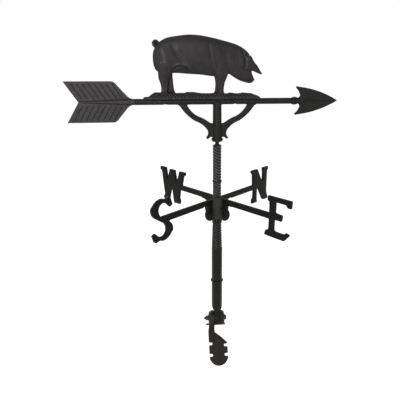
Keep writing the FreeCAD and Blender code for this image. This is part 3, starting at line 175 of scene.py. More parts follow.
class CoatProps(bpy.types.PropertyGroup):
    """Colours and surface of the powder coat."""

    figure_color: bpy.props.FloatVectorProperty(
        name="Figure", description="Charcoal coat of the figure", subtype="COLOR",
        size=3, min=0, max=1, default=(0.027, 0.0232, 0.0255))
    frame_color: bpy.props.FloatVectorProperty(
        name="Castings", description="Black coat of the rail, the head, the rod and the fasteners",
        subtype="COLOR", size=3, min=0, max=1, default=(0.014, 0.0132, 0.0125))
    letter_color: bpy.props.FloatVectorProperty(
        name="Letters", description="Black coat of the compass", subtype="COLOR",
        size=3, min=0, max=1, default=(0.0038, 0.0038, 0.0025))
    fletching_color: bpy.props.FloatVectorProperty(
        name="Fletching", description="Charcoal coat of the fletching", subtype="COLOR",
        size=3, min=0, max=1, default=(0.046, 0.04, 0.0433))
    # Painted highlight: a paler colour added on the ridges and swells of the figure.
    figure_highlight: bpy.props.FloatVectorProperty(
        name="Figure, rubbed", description="What the ridges of the figure are paler by",
        subtype="COLOR", size=3, min=0, max=1, default=(0.048, 0.041, 0.046))
    tube_color: bpy.props.FloatVectorProperty(
        name="Tube", description="Black coat of the upper tube", subtype="COLOR",
        size=3, min=0, max=1, default=(0.012, 0.0115, 0.011))
    # Painted highlight: a paler colour added on the twisted ridges of the tube, for the beads of light
    # on them.
    tube_highlight: bpy.props.FloatVectorProperty(
        name="Tube, rubbed", description="What the ridges of the upper tube are paler by",
        subtype="COLOR", size=3, min=0, max=1, default=(0.085, 0.083, 0.08))
    # Painted highlight: a paler colour added on the twisted ridges of the mast's neck.
    mast_highlight: bpy.props.FloatVectorProperty(
        name="Mast, rubbed", description="What the ridges of the mast's neck are paler by",
        subtype="COLOR", size=3, min=0, max=1, default=(0.03, 0.03, 0.028))
    # A darker copy of the black coat: painted shade on the lower mast, for the light that falls off low
    # down.
    mast_shaded_color: bpy.props.FloatVectorProperty(
        name="Mast", description="Black coat of the lower mast", subtype="COLOR",
        size=3, min=0, max=1, default=(0.004, 0.0042, 0.003))
    # Painted highlight: paleness added on the hub, for the light its bosses catch.
    hub_highlight_color: bpy.props.FloatVectorProperty(
        name="Hub", description="Paleness that the hub has more than the letters",
        subtype="COLOR", size=3, min=0, max=1, default=(0.036, 0.0335, 0.0335))
    foot_color: bpy.props.FloatVectorProperty(
        name="Feet", description="Brownish black coat of the feet", subtype="COLOR",
        size=3, min=0, max=1, default=(0.02, 0.016, 0.0135))
    roughness: bpy.props.FloatProperty(
        name="Roughness", description="How dull the coat is", subtype="FACTOR", min=0, max=1,
        default=0.46)
    mottle: bpy.props.FloatProperty(
        name="Mottle", description="How far the colour varies from patch to patch", subtype="FACTOR",
        min=0, max=1, default=0.3)
    peel_size: bpy.props.FloatProperty(
        name="Orange peel", description="Size of the fine waves in the coat", subtype="DISTANCE",
        unit="LENGTH", min=0.0001, default=1.1 * MM)
    peel_depth: bpy.props.FloatProperty(
        name="Peel depth", description="Depth of the fine waves", subtype="DISTANCE", unit="LENGTH",
        min=0, default=0.03 * MM)
    sand_size: bpy.props.FloatProperty(
        name="Sand marks", description="Size of the uneven patches left by the sand mould",
        subtype="DISTANCE", unit="LENGTH", min=0.0005, default=7 * MM)
    sand_depth: bpy.props.FloatProperty(
        name="Sand depth", description="Depth of those patches", subtype="DISTANCE", unit="LENGTH",
        min=0, default=0.22 * MM)


class FigureProps(bpy.types.PropertyGroup):
    """Sizes of the pig and its grass."""

    length: bpy.props.FloatProperty(
        name="Length", description="Rump to snout", subtype="DISTANCE", unit="LENGTH", default=220 * MM)
    height: bpy.props.FloatProperty(
        name="Height", description="Rail axis to the back", subtype="DISTANCE", unit="LENGTH",
        default=137.5 * MM)
    thickness: bpy.props.FloatProperty(
        name="Thickness", description="Across the trunk", subtype="DISTANCE", unit="LENGTH",
        default=28 * MM)
    fullness: bpy.props.FloatProperty(
        name="Fullness", description="Power of the sections: 2 is an oval, more is flatter at the sides",
        min=2, max=4, default=3)
    grass_thickness: bpy.props.FloatProperty(
        name="Grass thickness", description="Across the strip of grass", subtype="DISTANCE",
        unit="LENGTH", default=18 * MM)
    saddle: bpy.props.FloatProperty(
        name="Saddle", description="Rail axis to the underside of the grass", subtype="DISTANCE",
        unit="LENGTH", default=3.8 * MM)
    blade_pitch: bpy.props.FloatProperty(
        name="Blade pitch", description="Step from blade to blade of the grass", subtype="DISTANCE",
        unit="LENGTH", default=7.4 * MM)
    blade_depth: bpy.props.FloatProperty(
        name="Blade depth", description="Depth of the hollows between the blades", subtype="DISTANCE",
        unit="LENGTH", default=2.4 * MM)
    fold_depth: bpy.props.FloatProperty(
        name="Folds", description="Strength of the folds in the skin", subtype="FACTOR", min=0, max=2,
        default=1)
    curl_radius: bpy.props.FloatProperty(
        name="Curl", description="Middle of the curled tail to its outer turn", subtype="DISTANCE",
        unit="LENGTH", default=7.5 * MM)
    curl_wire: bpy.props.FloatProperty(
        name="Curl thickness", description="Thickness of the tail at its root", subtype="DISTANCE",
        unit="LENGTH", default=6.2 * MM)
    mesh_step: bpy.props.FloatProperty(
        name="Mesh step", description="Size of the faces of the finished figure", subtype="DISTANCE",
        unit="LENGTH", min=0.0008, default=1.1 * MM)


class MastProps(bpy.types.PropertyGroup):
    """Sizes of the mast and the tube."""

    ridges: bpy.props.IntProperty(
        name="Ridges", description="Twisted ridges round the neck and the tube", min=2, default=4)
    twist_pitch: bpy.props.FloatProperty(
        name="Twist pitch", description="Height of one full turn", subtype="DISTANCE", unit="LENGTH",
        default=27.5 * MM)
    twist_depth: bpy.props.FloatProperty(
        name="Twist depth", description="Depth of the hollows between the ridges", subtype="DISTANCE",
        unit="LENGTH", default=1.3 * MM)
    tongue: bpy.props.FloatProperty(
        name="Tongue", description="Thickness of the tongue on the ridge bolt", subtype="DISTANCE",
        unit="LENGTH", default=14 * MM)
    knuckle: bpy.props.FloatProperty(
        name="Knuckle", description="Radius of the tongue round the ridge bolt", subtype="DISTANCE",
        unit="LENGTH", default=20 * MM)
    north_turn: bpy.props.FloatProperty(
        name="North", description="Turn of the north arm from the arrow", subtype="ANGLE",
        unit="ROTATION", default=math.radians(41.1))
    front_slope: bpy.props.FloatProperty(
        name="Front slope", description="Slope of the front foot", subtype="ANGLE", unit="ROTATION",
        default=math.radians(45))
    rear_slope: bpy.props.FloatProperty(
        name="Rear slope", description="Slope of the rear foot", subtype="ANGLE", unit="ROTATION",
        default=math.radians(37))
    front_ear: bpy.props.FloatProperty(
        name="Front ear", description="Thickness of the ear of the front foot", subtype="DISTANCE",
        unit="LENGTH", default=15 * MM)
    rear_ear: bpy.props.FloatProperty(
        name="Rear ear", description="Thickness of the ear of the rear foot", subtype="DISTANCE",
        unit="LENGTH", default=12.5 * MM)
    rim_roll: bpy.props.FloatProperty(
        name="Rim roll", description="Radius of the rolled free rim of the ears", subtype="DISTANCE",
        unit="LENGTH", min=0.001, default=8.5 * MM)


class StageProps(bpy.types.PropertyGroup):
    """Camera, floor and light."""

    lens: bpy.props.FloatProperty(
        name="Lens", description="Focal length on a sensor 36 mm wide", min=1, default=34.2)
    tilt: bpy.props.FloatProperty(
        name="Tilt", description="How far the camera looks down", subtype="ANGLE", unit="ROTATION",
        default=math.radians(19.466))
    key_power: bpy.props.FloatProperty(
        name="Key lamp", description="Power of the main lamp, beside the camera", subtype="POWER",
        unit="POWER", min=0, default=36)
    fill_power: bpy.props.FloatProperty(
        name="Fill lamp", description="Power of the lamp at the front right", subtype="POWER",
        unit="POWER", min=0, default=5)
    top_power: bpy.props.FloatProperty(
        name="Top lamp", description="Power of the lamp over the object", subtype="POWER",
        unit="POWER", min=0, default=1.5)
    left_power: bpy.props.FloatProperty(
        name="Left lamp", description="Power of the lamp at the left", subtype="POWER",
        unit="POWER", min=0, default=6)
    back_power: bpy.props.FloatProperty(
        name="Back lamp", description="Power of the lamp behind the object", subtype="POWER",
        unit="POWER", min=0, default=14)
    room_level: bpy.props.FloatProperty(
        name="Room level", description="Light that comes from the room all round", min=0, default=0.12)


def smooth_rows(rows, between):
    """Rows of a table with more rows between them.

    Each new row lies on the cubic through four neighbours that leaves a row in the direction from
    the row before it to the row after it.
    """
    rows = np.asarray(rows, float)
    ends = np.vstack([rows[:1], rows, rows[-1:]])
    before, start, stop, after = (ends[shift:len(rows) - 1 + shift, None] for shift in range(4))
    share = np.linspace(0, 1, between, endpoint=False)[:, None]
    line = 2 * start + (stop - before) * share
    bend = (2 * before - 5 * start + 4 * stop - after) * share ** 2
    twist = (3 * start - before - 3 * stop + after) * share ** 3
    return np.vstack([((line + bend + twist) / 2).reshape(-1, rows.shape[1]), rows[-1:]])


def rounded(turns, power):
    """Sine and cosine of the turns, each raised to two over the power with its sign kept."""
    across, along = np.sin(turns), np.cos(turns)
    return (np.sign(wave) * np.abs(wave) ** (2 / power) for wave in (across, along))


def oval_grid(rows, props, corners=44):
    """Rings round the pig's sections, one for each row of a table of ovals.

    A point stands at the middle of the oval's two ends, plus half the way between the ends times the
    rounded cosine of its turn, plus the half width across times the rounded sine.
    """
    rows = smooth_rows(rows, 5)
    unit = np.array([props.length, props.height]) / 100
    low, high = rows[:, 0:2] * unit, rows[:, 2:4] * unit
    across, half_width = rows[:, 4] * props.thickness / 100, rows[:, 5] * props.thickness / 100
    sine, cosine = rounded(np.linspace(0, math.tau, corners, endpoint=False), props.fullness)
    spots = (low + high)[:, None] / 2 + (high - low)[:, None] / 2 * cosine[:, None]
    side = across[:, None] + half_width[:, None] * sine
    return np.stack([spots[..., 0], side, spots[..., 1] + RAIL_Z], -1)


def leg_grid(rows, props):
    """Rings round a leg: level ovals from its rear edge to its front edge."""
    rows = np.asarray(rows, float)
    up, rear, front, across, half_width = rows.T
    return oval_grid(np.stack([rear, up, front, up, across, half_width], -1), props)


def curl_grid(props, corners=24, steps=96):
    """Rings along the curled tail.

    The path is a spiral that closes in as it turns and steps sideways once in a turn; each ring is a
    circle square to it, thinner towards the rounded tip.
    """
    share = np.linspace(0, 1, steps + 1)
    turns = share * CURL_TURNS
    angle = np.radians(CURL_START - 360 * turns)
    out = np.stack([np.cos(angle), np.zeros_like(angle), np.sin(angle)], -1)
    side = np.array([0, 1, 0])
    reach = props.curl_radius - CURL_CLOSING * turns
    along, up = CURL_MIDDLE
    middle = np.array([along * props.length / 100, 0, RAIL_Z + up * props.height / 100])
    path = middle + out * reach[:, None] + side * (CURL_STEP * (turns - 0.7))[:, None]
    wire = props.curl_wire / 2 * (1 - 0.3 * share ** 1.5) * np.sqrt((1.003 - share ** 14).clip(0))
    round_turn = np.linspace(0, math.tau, corners, endpoint=False)
    ring = out[:, None] * np.cos(round_turn)[:, None] + side * np.sin(round_turn)[:, None]
    return path[:, None] + ring * wire[:, None, None]


def grass_grid(props, corners=28):
    """Rings across the strip of grass: at each place a rounded box as tall as the table says."""
    rows = np.asarray(GRASS_TOP, float)
    along = np.linspace(rows[0, 0], rows[-1, 0], 240)
    top = np.interp(along, rows[:, 0], rows[:, 1]) * props.height / 100
    middle = (top + props.saddle) / 2
    sine, cosine = rounded(np.linspace(0, math.tau, corners, endpoint=False), 5)
    up = middle[:, None] + (top - props.saddle)[:, None] / 2 * cosine
    side = np.broadcast_to(props.grass_thickness / 2 * sine, up.shape)
    places = np.broadcast_to(along[:, None] * props.length / 100, up.shape)
    return np.stack([places, side, up + RAIL_Z], -1)


def grid_faces(grid):
    """Faces over a grid of rings: a quad between each four neighbours and one face over each end."""
    rings, corners, _ = grid.shape
    index = np.arange(rings * corners).reshape(rings, corners)
    near, above = index[:-1], index[1:]
    quads = np.stack([near, np.roll(near, -1, 1), np.roll(above, -1, 1), above], -1).reshape(-1, 4)
    points = grid.reshape(-1, 3) - grid.mean((0, 1))
    a, b, c, d = (points[quads[:, corner]] for corner in range(4))
    swept = (np.cross(c - a, d - b) * (a + b + c + d)).sum()
    faces = quads.tolist() + [index[0, ::-1].tolist(), index[-1].tolist()]
    return faces if swept > 0 else [face[::-1] for face in faces]


def new_object(name, data):
    """An object in the scene over the given data."""
    thing = bpy.data.objects.new(name, data)
    bpy.context.scene.collection.objects.link(thing)
    return thing


def add_piece(name, grids):
    """One object at the origin over one or more grids of rings."""
    points = np.concatenate([grid.reshape(-1, 3) for grid in grids])
    faces = []
    first = 0
    for grid in grids:
        faces += [[first + corner for corner in face] for face in grid_faces(grid)]
        first += grid.shape[0] * grid.shape[1]
    data = bpy.data.meshes.new(name)
    data.from_pydata(points.tolist(), [], faces)
    data.update()
    return new_object(name, data)


def even_skin(piece, step, passes):
    """Remeshes a piece in small even faces, relaxes it and keeps the result as its mesh."""
    remesh = piece.modifiers.new("remesh", "REMESH")
    remesh.mode = "VOXEL"
    remesh.voxel_size = step
    remesh.use_smooth_shade = True
    relax = piece.modifiers.new("relax", "SMOOTH")
    relax.factor = 0.5
    relax.iterations = passes
    graph = bpy.context.evaluated_depsgraph_get()
    data = bpy.data.meshes.new_from_object(piece.evaluated_get(graph), depsgraph=graph)
    piece.modifiers.clear()
    piece.data = data


def hand_in(piece, body, slot, material, *nodes):
    """Gives a piece its coat and its body, and hides the solids that it stands for."""
    piece.data.materials.clear()
    piece.data.materials.append(material)
    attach(piece, body)
    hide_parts(*nodes)


def vertex_rows(data, what):
    """The places or the normals of a mesh's vertices, one row for each."""
    values = np.empty(len(data.vertices) * 3)
    data.vertices.foreach_get(what, values)
    return values.reshape(-1, 3)


def line_nearness(places, line, width):
    """One on a bent line, falling off beside it as the bell curve of the distance over the width."""
    line = np.asarray(line, float)
    start, span = line[:-1], np.diff(line, axis=0)
    share = ((places[:, None] - start) * span).sum(-1) / (span ** 2).sum(-1)
    nearest = start + share.clip(0, 1)[..., None] * span
    gap = np.linalg.norm(places[:, None] - nearest, axis=-1).min(1)
    return np.exp(-(gap / width) ** 2)


def mark_shade_and_highlight(data, hollow):
    """Keeps how hollow each point is for the coat's painted shade and highlight: zero on a ridge for a
    painted highlight, a half between, one in a hollow for painted shade.
    """
    kept = data.attributes.new("hollow", "FLOAT", "POINT")
    kept.data.foreach_set("value", 0.5 + 0.5 * hollow.clip(-1, 1))


def carve_figure(piece, props):
    """Presses the folds of the skin and the blades of grass into both sides of the figure.

    A point moves towards the middle plane by the sum of the folds' nearness times their depths, and in
    the grass by a leaning, swaying wave; both fade where the surface turns edgeways. The coat gets
    painted shade in the narrow folds, in the hollows of the wave and on the rims, and a painted
    highlight on the swells.
    """
    data = piece.data
    points, turned = vertex_rows(data, "co"), np.abs(vertex_rows(data, "normal")[:, 1])
    unit = np.array([props.length, props.height]) / 100
    places = points[:, [0, 2]] - (0, RAIL_Z)
    inward = np.zeros(len(points))
    hollow = np.zeros(len(points))
    for depth, width, line in FOLDS.values():
        near = line_nearness(places, np.asarray(line) * unit, width * MM)
        inward += depth * MM * props.fold_depth * near
        # Painted shade in the narrow folds, and a painted highlight on the swells and narrow ridges.
        hollow += near * depth * (0.6 if width < 3 else 0.2 * (depth < 0))
    along, height = places.T
    sway = sum(size * np.sin(along / step) for size, step in BLADE_SWAYS)
    wave = np.cos(math.tau * (along + BLADE_LEAN * height + sway) / props.blade_pitch)
    top = np.interp(along, *(np.array(GRASS_TOP) * unit).T)
    over, under = (height - 7 * MM) / (4 * MM), (top + 2.5 * MM - height) / (3 * MM)
    in_grass = under.clip(0, 1) * over.clip(0, 1)
    inward += props.blade_depth * in_grass * (0.5 + 0.5 * wave)
    # Painted shade on the grass, deepest between the blades, and on the rims, where the surface turns
    # away from the light.
    hollow += (0.9 * wave + 0.3) * in_grass + 0.9 * (1 - turned) ** 1.5
    away = np.abs(points[:, 1])
    points[:, 1] -= np.sign(points[:, 1]) * np.minimum(inward, away * 0.6) * turned ** 0.7
    data.vertices.foreach_set("co", points.ravel())
    mark_shade_and_highlight(data, hollow)
    data.update()


def turned_grid(heights, half_x, half_y, power, corners=96):
    """Rings round an upright bar: at each height a rounded section of its own half widths and power."""
    turns = np.linspace(0, math.tau, corners, endpoint=False)
    rings = []
    for height, wide, deep, bend in zip(heights, half_x, half_y, power):
        sine, cosine = rounded(turns, bend)
        rings.append(np.stack([wide * cosine, deep * sine, np.full(corners, height)], -1))
    return np.stack(rings)


def twist_wave(points, props, foot):
    """Wave round a twisted bar, one on its ridges and minus one in its hollows.

    It is the cosine of the number of ridges times the angle that is left when the twist's own turn at
    that height is taken off.
    """
    angle = np.arctan2(points[..., 1], points[..., 0])
    turn = -math.tau * (points[..., 2] - foot) / props.twist_pitch
    return np.cos(props.ridges * (angle - turn))


def twisted(grid, amount, props, foot):
    """Presses the hollows of a twist into a bar: the raised half wave times the depth at that height."""
    hollow = (0.5 - 0.5 * twist_wave(grid, props, foot)) ** 1.2
    reach = np.hypot(grid[..., 0], grid[..., 1])
    share = 1 - props.twist_depth * amount[:, None] * hollow / np.maximum(reach, MM)
    grid[..., :2] *= share[..., None]
    return grid


def mark_twist(data, heights, amount, props, foot):
    """Keeps the hollows of a twist for the coat's painted shade, and its ridges for a painted highlight,
    as strong as the twist is at each height.
    """
    points = vertex_rows(data, "co")
    mark_shade_and_highlight(data, -twist_wave(points, props, foot) * np.interp(points[:, 2], heights, amount))


def mark_edges(data, face, lines):
    """Scribes lines into a flat casting and marks its rims, grooves and lines for the coat's painted
    shade.

    A rim gets painted shade as strongly as its normal turns away from the face, to the power 1.5; a
    groove as deep as it lies under the half thickness of the face, in full from 0.3 mm; a line by the
    nearness to it.
    """
    points, turned = vertex_rows(data, "co"), np.abs(vertex_rows(data, "normal")[:, 1])
    flat = turned > 0.5
    groove = ((face - np.abs(points[:, 1])) / (0.3 * MM)).clip(0, 1) * flat
    # Painted shade on the rims, in the grooves and, below, in the scribed lines.
    hollow = np.maximum((1 - turned) ** 1.5, groove)
    places = points[:, [0, 2]] - (0, RAIL_Z)
    for line in lines:
        near = line_nearness(places, np.asarray(line) * MM, LINE_WIDTH) * flat
        points[:, 1] -= np.sign(points[:, 1]) * LINE_DEPTH * near
        hollow = np.maximum(hollow, near)
    data.vertices.foreach_set("co", points.ravel())
    mark_shade_and_highlight(data, hollow)
    data.update()


def bulge(heights, middle, half, size):
    """A bead: the upper half of an oval of the given half height and size, and zero beyond it."""
    return size * np.sqrt((1 - ((heights - middle) / half) ** 2).clip(0, 1))


def window(heights, low, high, soft):
    """One between two heights, falling to zero over a soft edge inside each."""
    return np.minimum((heights - low) / soft, (high - heights) / soft).clip(0, 1)


def new_material(name):
    """A material with its shader and links at hand."""
    material = bpy.data.materials.new(name)
    material.use_nodes = True
    tree = material.node_tree
    return material, tree, tree.nodes["Principled BSDF"]


def noise(tree, place, size, detail=3.0, roughness=0.5):
    """Noise whose patches have about the given size in metres."""
    node = tree.nodes.new("ShaderNodeTexNoise")
    node.inputs["Scale"].default_value = 1 / size
    node.inputs["Detail"].default_value = detail
    node.inputs["Roughness"].default_value = roughness
    tree.links.new(place, node.inputs["Vector"])
    return node.outputs["Fac"]


def ramp(tree, value, low, high, tones):
    """Colours that change from the first tone to the last between two levels of a value."""
    node = tree.nodes.new("ShaderNodeValToRGB")
    tree.links.new(value, node.inputs["Fac"])
    stops = node.color_ramp.elements
    stops[0].position, stops[1].position = low, high
    stops[0].color, stops[1].color = ((*tone, 1) for tone in tones)
    return node.outputs["Color"]


def speckle(tree, value, low, high):
    """One number that follows a noise from a low to a high level."""
    return ramp(tree, value, NOISE_LOW, NOISE_HIGH, ([low] * 3, [high] * 3))


def mottled(tree, value, color, low, high):
    """A colour that follows a noise from a low to a high share of itself."""
    tones = [[channel * share for channel in color] for share in (low, high)]
    return ramp(tree, value, NOISE_LOW, NOISE_HIGH, tones)


def bump(tree, height, depth, under=None):
    """Waves of the given depth in metres, laid over other waves."""
    node = tree.nodes.new("ShaderNodeBump")
    node.inputs["Strength"].default_value = 1
    node.inputs["Distance"].default_value = depth
    tree.links.new(height, node.inputs["Height"])
    if under:
        tree.links.new(under, node.inputs["Normal"])
    return node.outputs["Normal"]


def combined(tree, operation, first, second):
    """Vector maths on two colours."""
    node = tree.nodes.new("ShaderNodeVectorMath")
    node.operation = operation
    tree.links.new(first, node.inputs[0])
    tree.links.new(second, node.inputs[1])
    return node.outputs["Vector"]


def shade_and_highlight_coat(tree, coat, worn):
    """A coat with painted shade in the hollows of a piece and a painted highlight on its ridges."""
    hollow = tree.nodes.new("ShaderNodeAttribute")
    hollow.attribute_name = "hollow"
    # Painted shade: the colour falls to a small share of itself in the hollows.
    painted_shade = ramp(tree, hollow.outputs["Fac"], 0.5, 1, ([1.0] * 3, [PAINTED_SHADE_SHARE] * 3))
    # Painted highlight: a paler colour added on the ridges.
    ridge_highlight = ramp(tree, hollow.outputs["Fac"], 0, 0.5, (worn, [0.0] * 3))
    return combined(tree, "ADD", combined(tree, "MULTIPLY", coat, painted_shade), ridge_highlight)


def painted_hub_highlight(tree, coat, place, added):
    """A coat with a painted highlight near the axis of the mast, up to the sides of the hub."""
    flat = tree.nodes.new("ShaderNodeVectorMath")
    flat.operation = "MULTIPLY"
    flat.inputs[1].default_value = (1, 1, 0)
    tree.links.new(place, flat.inputs[0])
    away = tree.nodes.new("ShaderNodeVectorMath")
    away.operation = "LENGTH"
    tree.links.new(flat.outputs["Vector"], away.inputs[0])
    # Painted highlight near the axis, fading out beyond the sides of the hub.
    paler = ramp(tree, away.outputs["Value"], HUB_EDGE, HUB_FADE, (added, [0.0] * 3))
    return combined(tree, "ADD", coat, paler)


def powder_coat(name, color, props, level, gloss, worn=None, hub=None):
    """Powder coat on sand-cast metal: mottled colour, uneven gloss, orange peel over sand marks."""
    material, tree, shader = new_material(name)
    place = tree.nodes.new("ShaderNodeTexCoord").outputs["Object"]
    patches = noise(tree, place, 3 * props.sand_size, 5, 0.6)
    coat = mottled(tree, patches, color, 1 - props.mottle, 1 + props.mottle)
    # Painted shade in the hollows, and a painted highlight on the ridges.
    if worn:
        coat = shade_and_highlight_coat(tree, coat, worn)
    # Painted highlight on the hub of the letters.
    if hub:
        coat = painted_hub_highlight(tree, coat, place, hub)
    tree.links.new(coat, shader.inputs["Base Color"])
    dull = props.roughness - gloss
    speck = speckle(tree, noise(tree, place, props.sand_size, 6, 0.65), dull - 0.07, dull + 0.09)
    glancing = tree.nodes.new("ShaderNodeLayerWeight")
    glancing.inputs["Blend"].default_value = 0.35
    scatter = ramp(tree, glancing.outputs["Facing"], 0.45, 0.9, ([0.0] * 3, [0.5] * 3))
    together = tree.nodes.new("ShaderNodeMath")
    together.operation = "ADD"
    together.use_clamp = True
    tree.links.new(speck, together.inputs[0])
    tree.links.new(scatter, together.inputs[1])
    tree.links.new(together.outputs["Value"], shader.inputs["Roughness"])
    marks = bump(tree, noise(tree, place, props.sand_size, 3, 0.5), props.sand_depth)
    peel = bump(tree, noise(tree, place, props.peel_size, 2, 0.5), props.peel_depth, marks)
    tree.links.new(peel, shader.inputs["Normal"])
    shader.inputs["Specular IOR Level"].default_value = level
    return material


def bare_metal(name, color, dull, grain):
    """Bare metal: fine marks in gloss and relief, on a slightly uneven colour."""
    material, tree, shader = new_material(name)
    place = tree.nodes.new("ShaderNodeTexCoord").outputs["Object"]
    tone = mottled(tree, noise(tree, place, 4 * MM, 4), color, 0.85, 1.08)
    tree.links.new(tone, shader.inputs["Base Color"])
    marks = noise(tree, place, grain, 3)
    tree.links.new(speckle(tree, marks, dull - 0.08, dull + 0.1), shader.inputs["Roughness"])
    tree.links.new(bump(tree, marks, 0.01 * MM), shader.inputs["Normal"])
    shader.inputs["Metallic"].default_value = 1
    return material


def coat_of(kind):
    """The coat of a kind of piece, made once: its colour, specular level, extra gloss, and its painted
    shade and highlights.
    """
    props = bpy.context.scene.weathervane_coat
    # The extras add painted shade in the hollows, a painted highlight on the ridges and one on the hub;
    # the mast's colour is made darker as painted shade.
    coats = {
        "figure_coat": (props.figure_color, 0.16, 0.06, {"worn": tuple(props.figure_highlight)}),
        "fletching_coat": (props.fletching_color, 0.16, 0.04, {"worn": NO_RIDGE_HIGHLIGHT}),
        "frame_coat": (props.frame_color, 0.14, 0.05, {"worn": NO_RIDGE_HIGHLIGHT}),
        "tube_coat": (props.tube_color, 0.2, 0.16, {"worn": tuple(props.tube_highlight)}),
        "mast_coat": (props.mast_shaded_color, 0.16, 0.16, {"worn": tuple(props.mast_highlight)}),
        "foot_coat": (props.foot_color, 0.16, 0.1, {}),
        "letter_coat": (props.letter_color, 0.1, 0.08, {"hub": tuple(props.hub_highlight_color)}),
        "fastener_coat": (props.frame_color, 0.3, 0.12, {}),
    }
    if kind in bpy.data.materials:
        return bpy.data.materials[kind]
    color, level, gloss, extras = coats[kind]
    return powder_coat(kind, tuple(color), props, level, gloss, **extras)


def finish_node(node, material):
    """Puts a material on a solid of the frame."""
    for slot in frame["nodes"][node].material_slots:
        slot.material = material


def cast_copy(node, step, turn=Matrix(), passes=2, face=0, lines=()):
    """Soft-edged copy of a casting, left in the position where it is level and square.

    The copy's loose triangles are merged, it is turned level, remeshed in even small faces and relaxed,
    and its rims, grooves and lines are marked for the coat's painted shade.
    """
    form = bmesh.new()
    form.from_mesh(frame["nodes"][node].data)
    bmesh.ops.remove_doubles(form, verts=form.verts, dist=MM / 200)
    data = bpy.data.meshes.new(f"{node}_cast")
    form.to_mesh(data)
    form.free()
    data.transform(turn.inverted())
    piece = new_object(f"{node}_cast", data)
    even_skin(piece, step, passes)
    mark_edges(piece.data, face, lines)
    return piece


def roll_rim(piece, props, face, way):
    """Rolls over the free rim of an ear, while the foot lies level with its bolt at the origin.

    Between the rolled part's corner and the ear's outer face and rim, a point's two steps from that
    corner are both scaled by the larger step over their length, which bends the square corner into a
    quarter circle. The change fades out towards the plate and the underside.
    """
    points = vertex_rows(piece.data, "co")
    reach = np.hypot(points[:, 1], points[:, 2]).clip(MM / 10)
    roll = props.rim_roll
    step = (np.abs(points[:, 0]) - face + roll) / roll
    rise = (reach - props.knuckle + roll) / roll
    free = (np.maximum(way * points[:, 1], points[:, 2]) / reach / 0.35).clip(0, 1)
    corner = (step > 0) & (rise > 0) & (step < 1.1) & (rise < 1.1)
    scale = np.maximum(step, rise) / np.hypot(step, rise).clip(0.01)
    scale = np.where(corner, 1 + (scale - 1) * free, 1)
    across = np.where(corner, face - roll + roll * step * scale, np.abs(points[:, 0]))
    points[:, 0] = np.copysign(across, points[:, 0])
    round_reach = np.where(corner, props.knuckle - roll + roll * rise * scale, reach)
    points[:, 1:] *= (round_reach / reach)[:, None]
    piece.data.vertices.foreach_set("co", points.ravel())
    piece.data.update()


class WEATHERVANE_OT_figure(bpy.types.Operator):
    """Casts the pig, its legs, ears, curled tail and grass as one smooth piece"""

    bl_idname = "weathervane.figure"
    bl_label = "Cast the Figure"

    def execute(self, context):
        props = context.scene.weathervane_figure
        grids = [oval_grid(TRUNK, props), curl_grid(props), grass_grid(props)]
        legs = (NEAR_HIND_LEG, FAR_HIND_LEG, NEAR_FORE_LEG, FAR_FORE_LEG)
        grids += [leg_grid(rows, props) for rows in legs]
        for side in (-1, 1):
            ear = np.array(EAR, float)
            ear[:, 4] *= side
            grids.append(oval_grid(ear, props))
        piece = add_piece("pig_on_grass", grids)
        even_skin(piece, props.mesh_step, 3)
        carve_figure(piece, props)
        piece.data.shade_smooth()
        hand_in(piece, "vane", "figure", coat_of("figure_coat"), "pig_figure")
        return {"FINISHED"}


class WEATHERVANE_OT_mast(bpy.types.Operator):
    """Turns and twists the lower mast, from its tongue to its collar"""

    bl_idname = "weathervane.mast"
    bl_label = "Turn the Lower Mast"

    def execute(self, context):
        props = context.scene.weathervane_mast
        knuckle = props.knuckle / MM
        top = (MAST_TOP - BOLT_Z) / MM
        collar_foot = top - COLLAR_HEIGHT
        # Heights of the rings, closest at the bead and along the twisted neck.
        levels = np.concatenate([
            -knuckle * np.cos(np.linspace(0.03, math.pi / 2, 18)),
            np.arange(1, 44, 1.0), np.arange(46, 116, 5.0), np.arange(117, 123, 0.25),
            np.arange(124, 210, 6.0), np.arange(210.6, top - 0.4, 0.6), [top - 0.25, top]])
        radius = np.interp(levels, [BEAD_HEIGHT, BEAD_HEIGHT + 0.1, NECK_FOOT, collar_foot],
                           [SHANK_RADIUS, BARREL_RADIUS, BARREL_RADIUS, NECK_RADIUS])
        radius += bulge(levels, BEAD_HEIGHT, BEAD_HALF, BEAD_OUT)
        collar = NECK_RADIUS + bulge(levels, top - COLLAR_MIDDLE, COLLAR_HALF, COLLAR_OUT)
        radius = np.maximum(radius, (levels > collar_foot) * collar)
        radius -= (levels > top - 0.3) * 0.35
        disc = np.sqrt((knuckle ** 2 - levels ** 2).clip(0))
        half_y = np.where(levels < 0, disc.clip(0.4), np.maximum(radius, disc))
        spread = ((levels - TONGUE_END) / TONGUE_BLEND).clip(0, 1)
        spread = spread * spread * (3 - 2 * spread)
        half_x = props.tongue / 2 / MM * (1 - spread) + radius * spread
        power = 9 * (1 - spread) + 2 * spread
        lift = levels * MM + BOLT_Z
        grid = turned_grid(lift, half_x * MM, half_y * MM, power, corners=112)
        amount = window(levels, NECK_FOOT + 0.9, collar_foot - 0.3, 3.5)
        grid = twisted(grid, amount, props, BOLT_Z)
        piece = add_piece("lower_mast_turned", [grid])
        mark_twist(piece.data, lift, amount, props, BOLT_Z)
        piece.data.shade_smooth()
        piece.data.set_sharp_from_angle(angle=math.radians(50))
        hand_in(piece, "mast", "cast", coat_of("mast_coat"), "lower_mast")
        return {"FINISHED"}


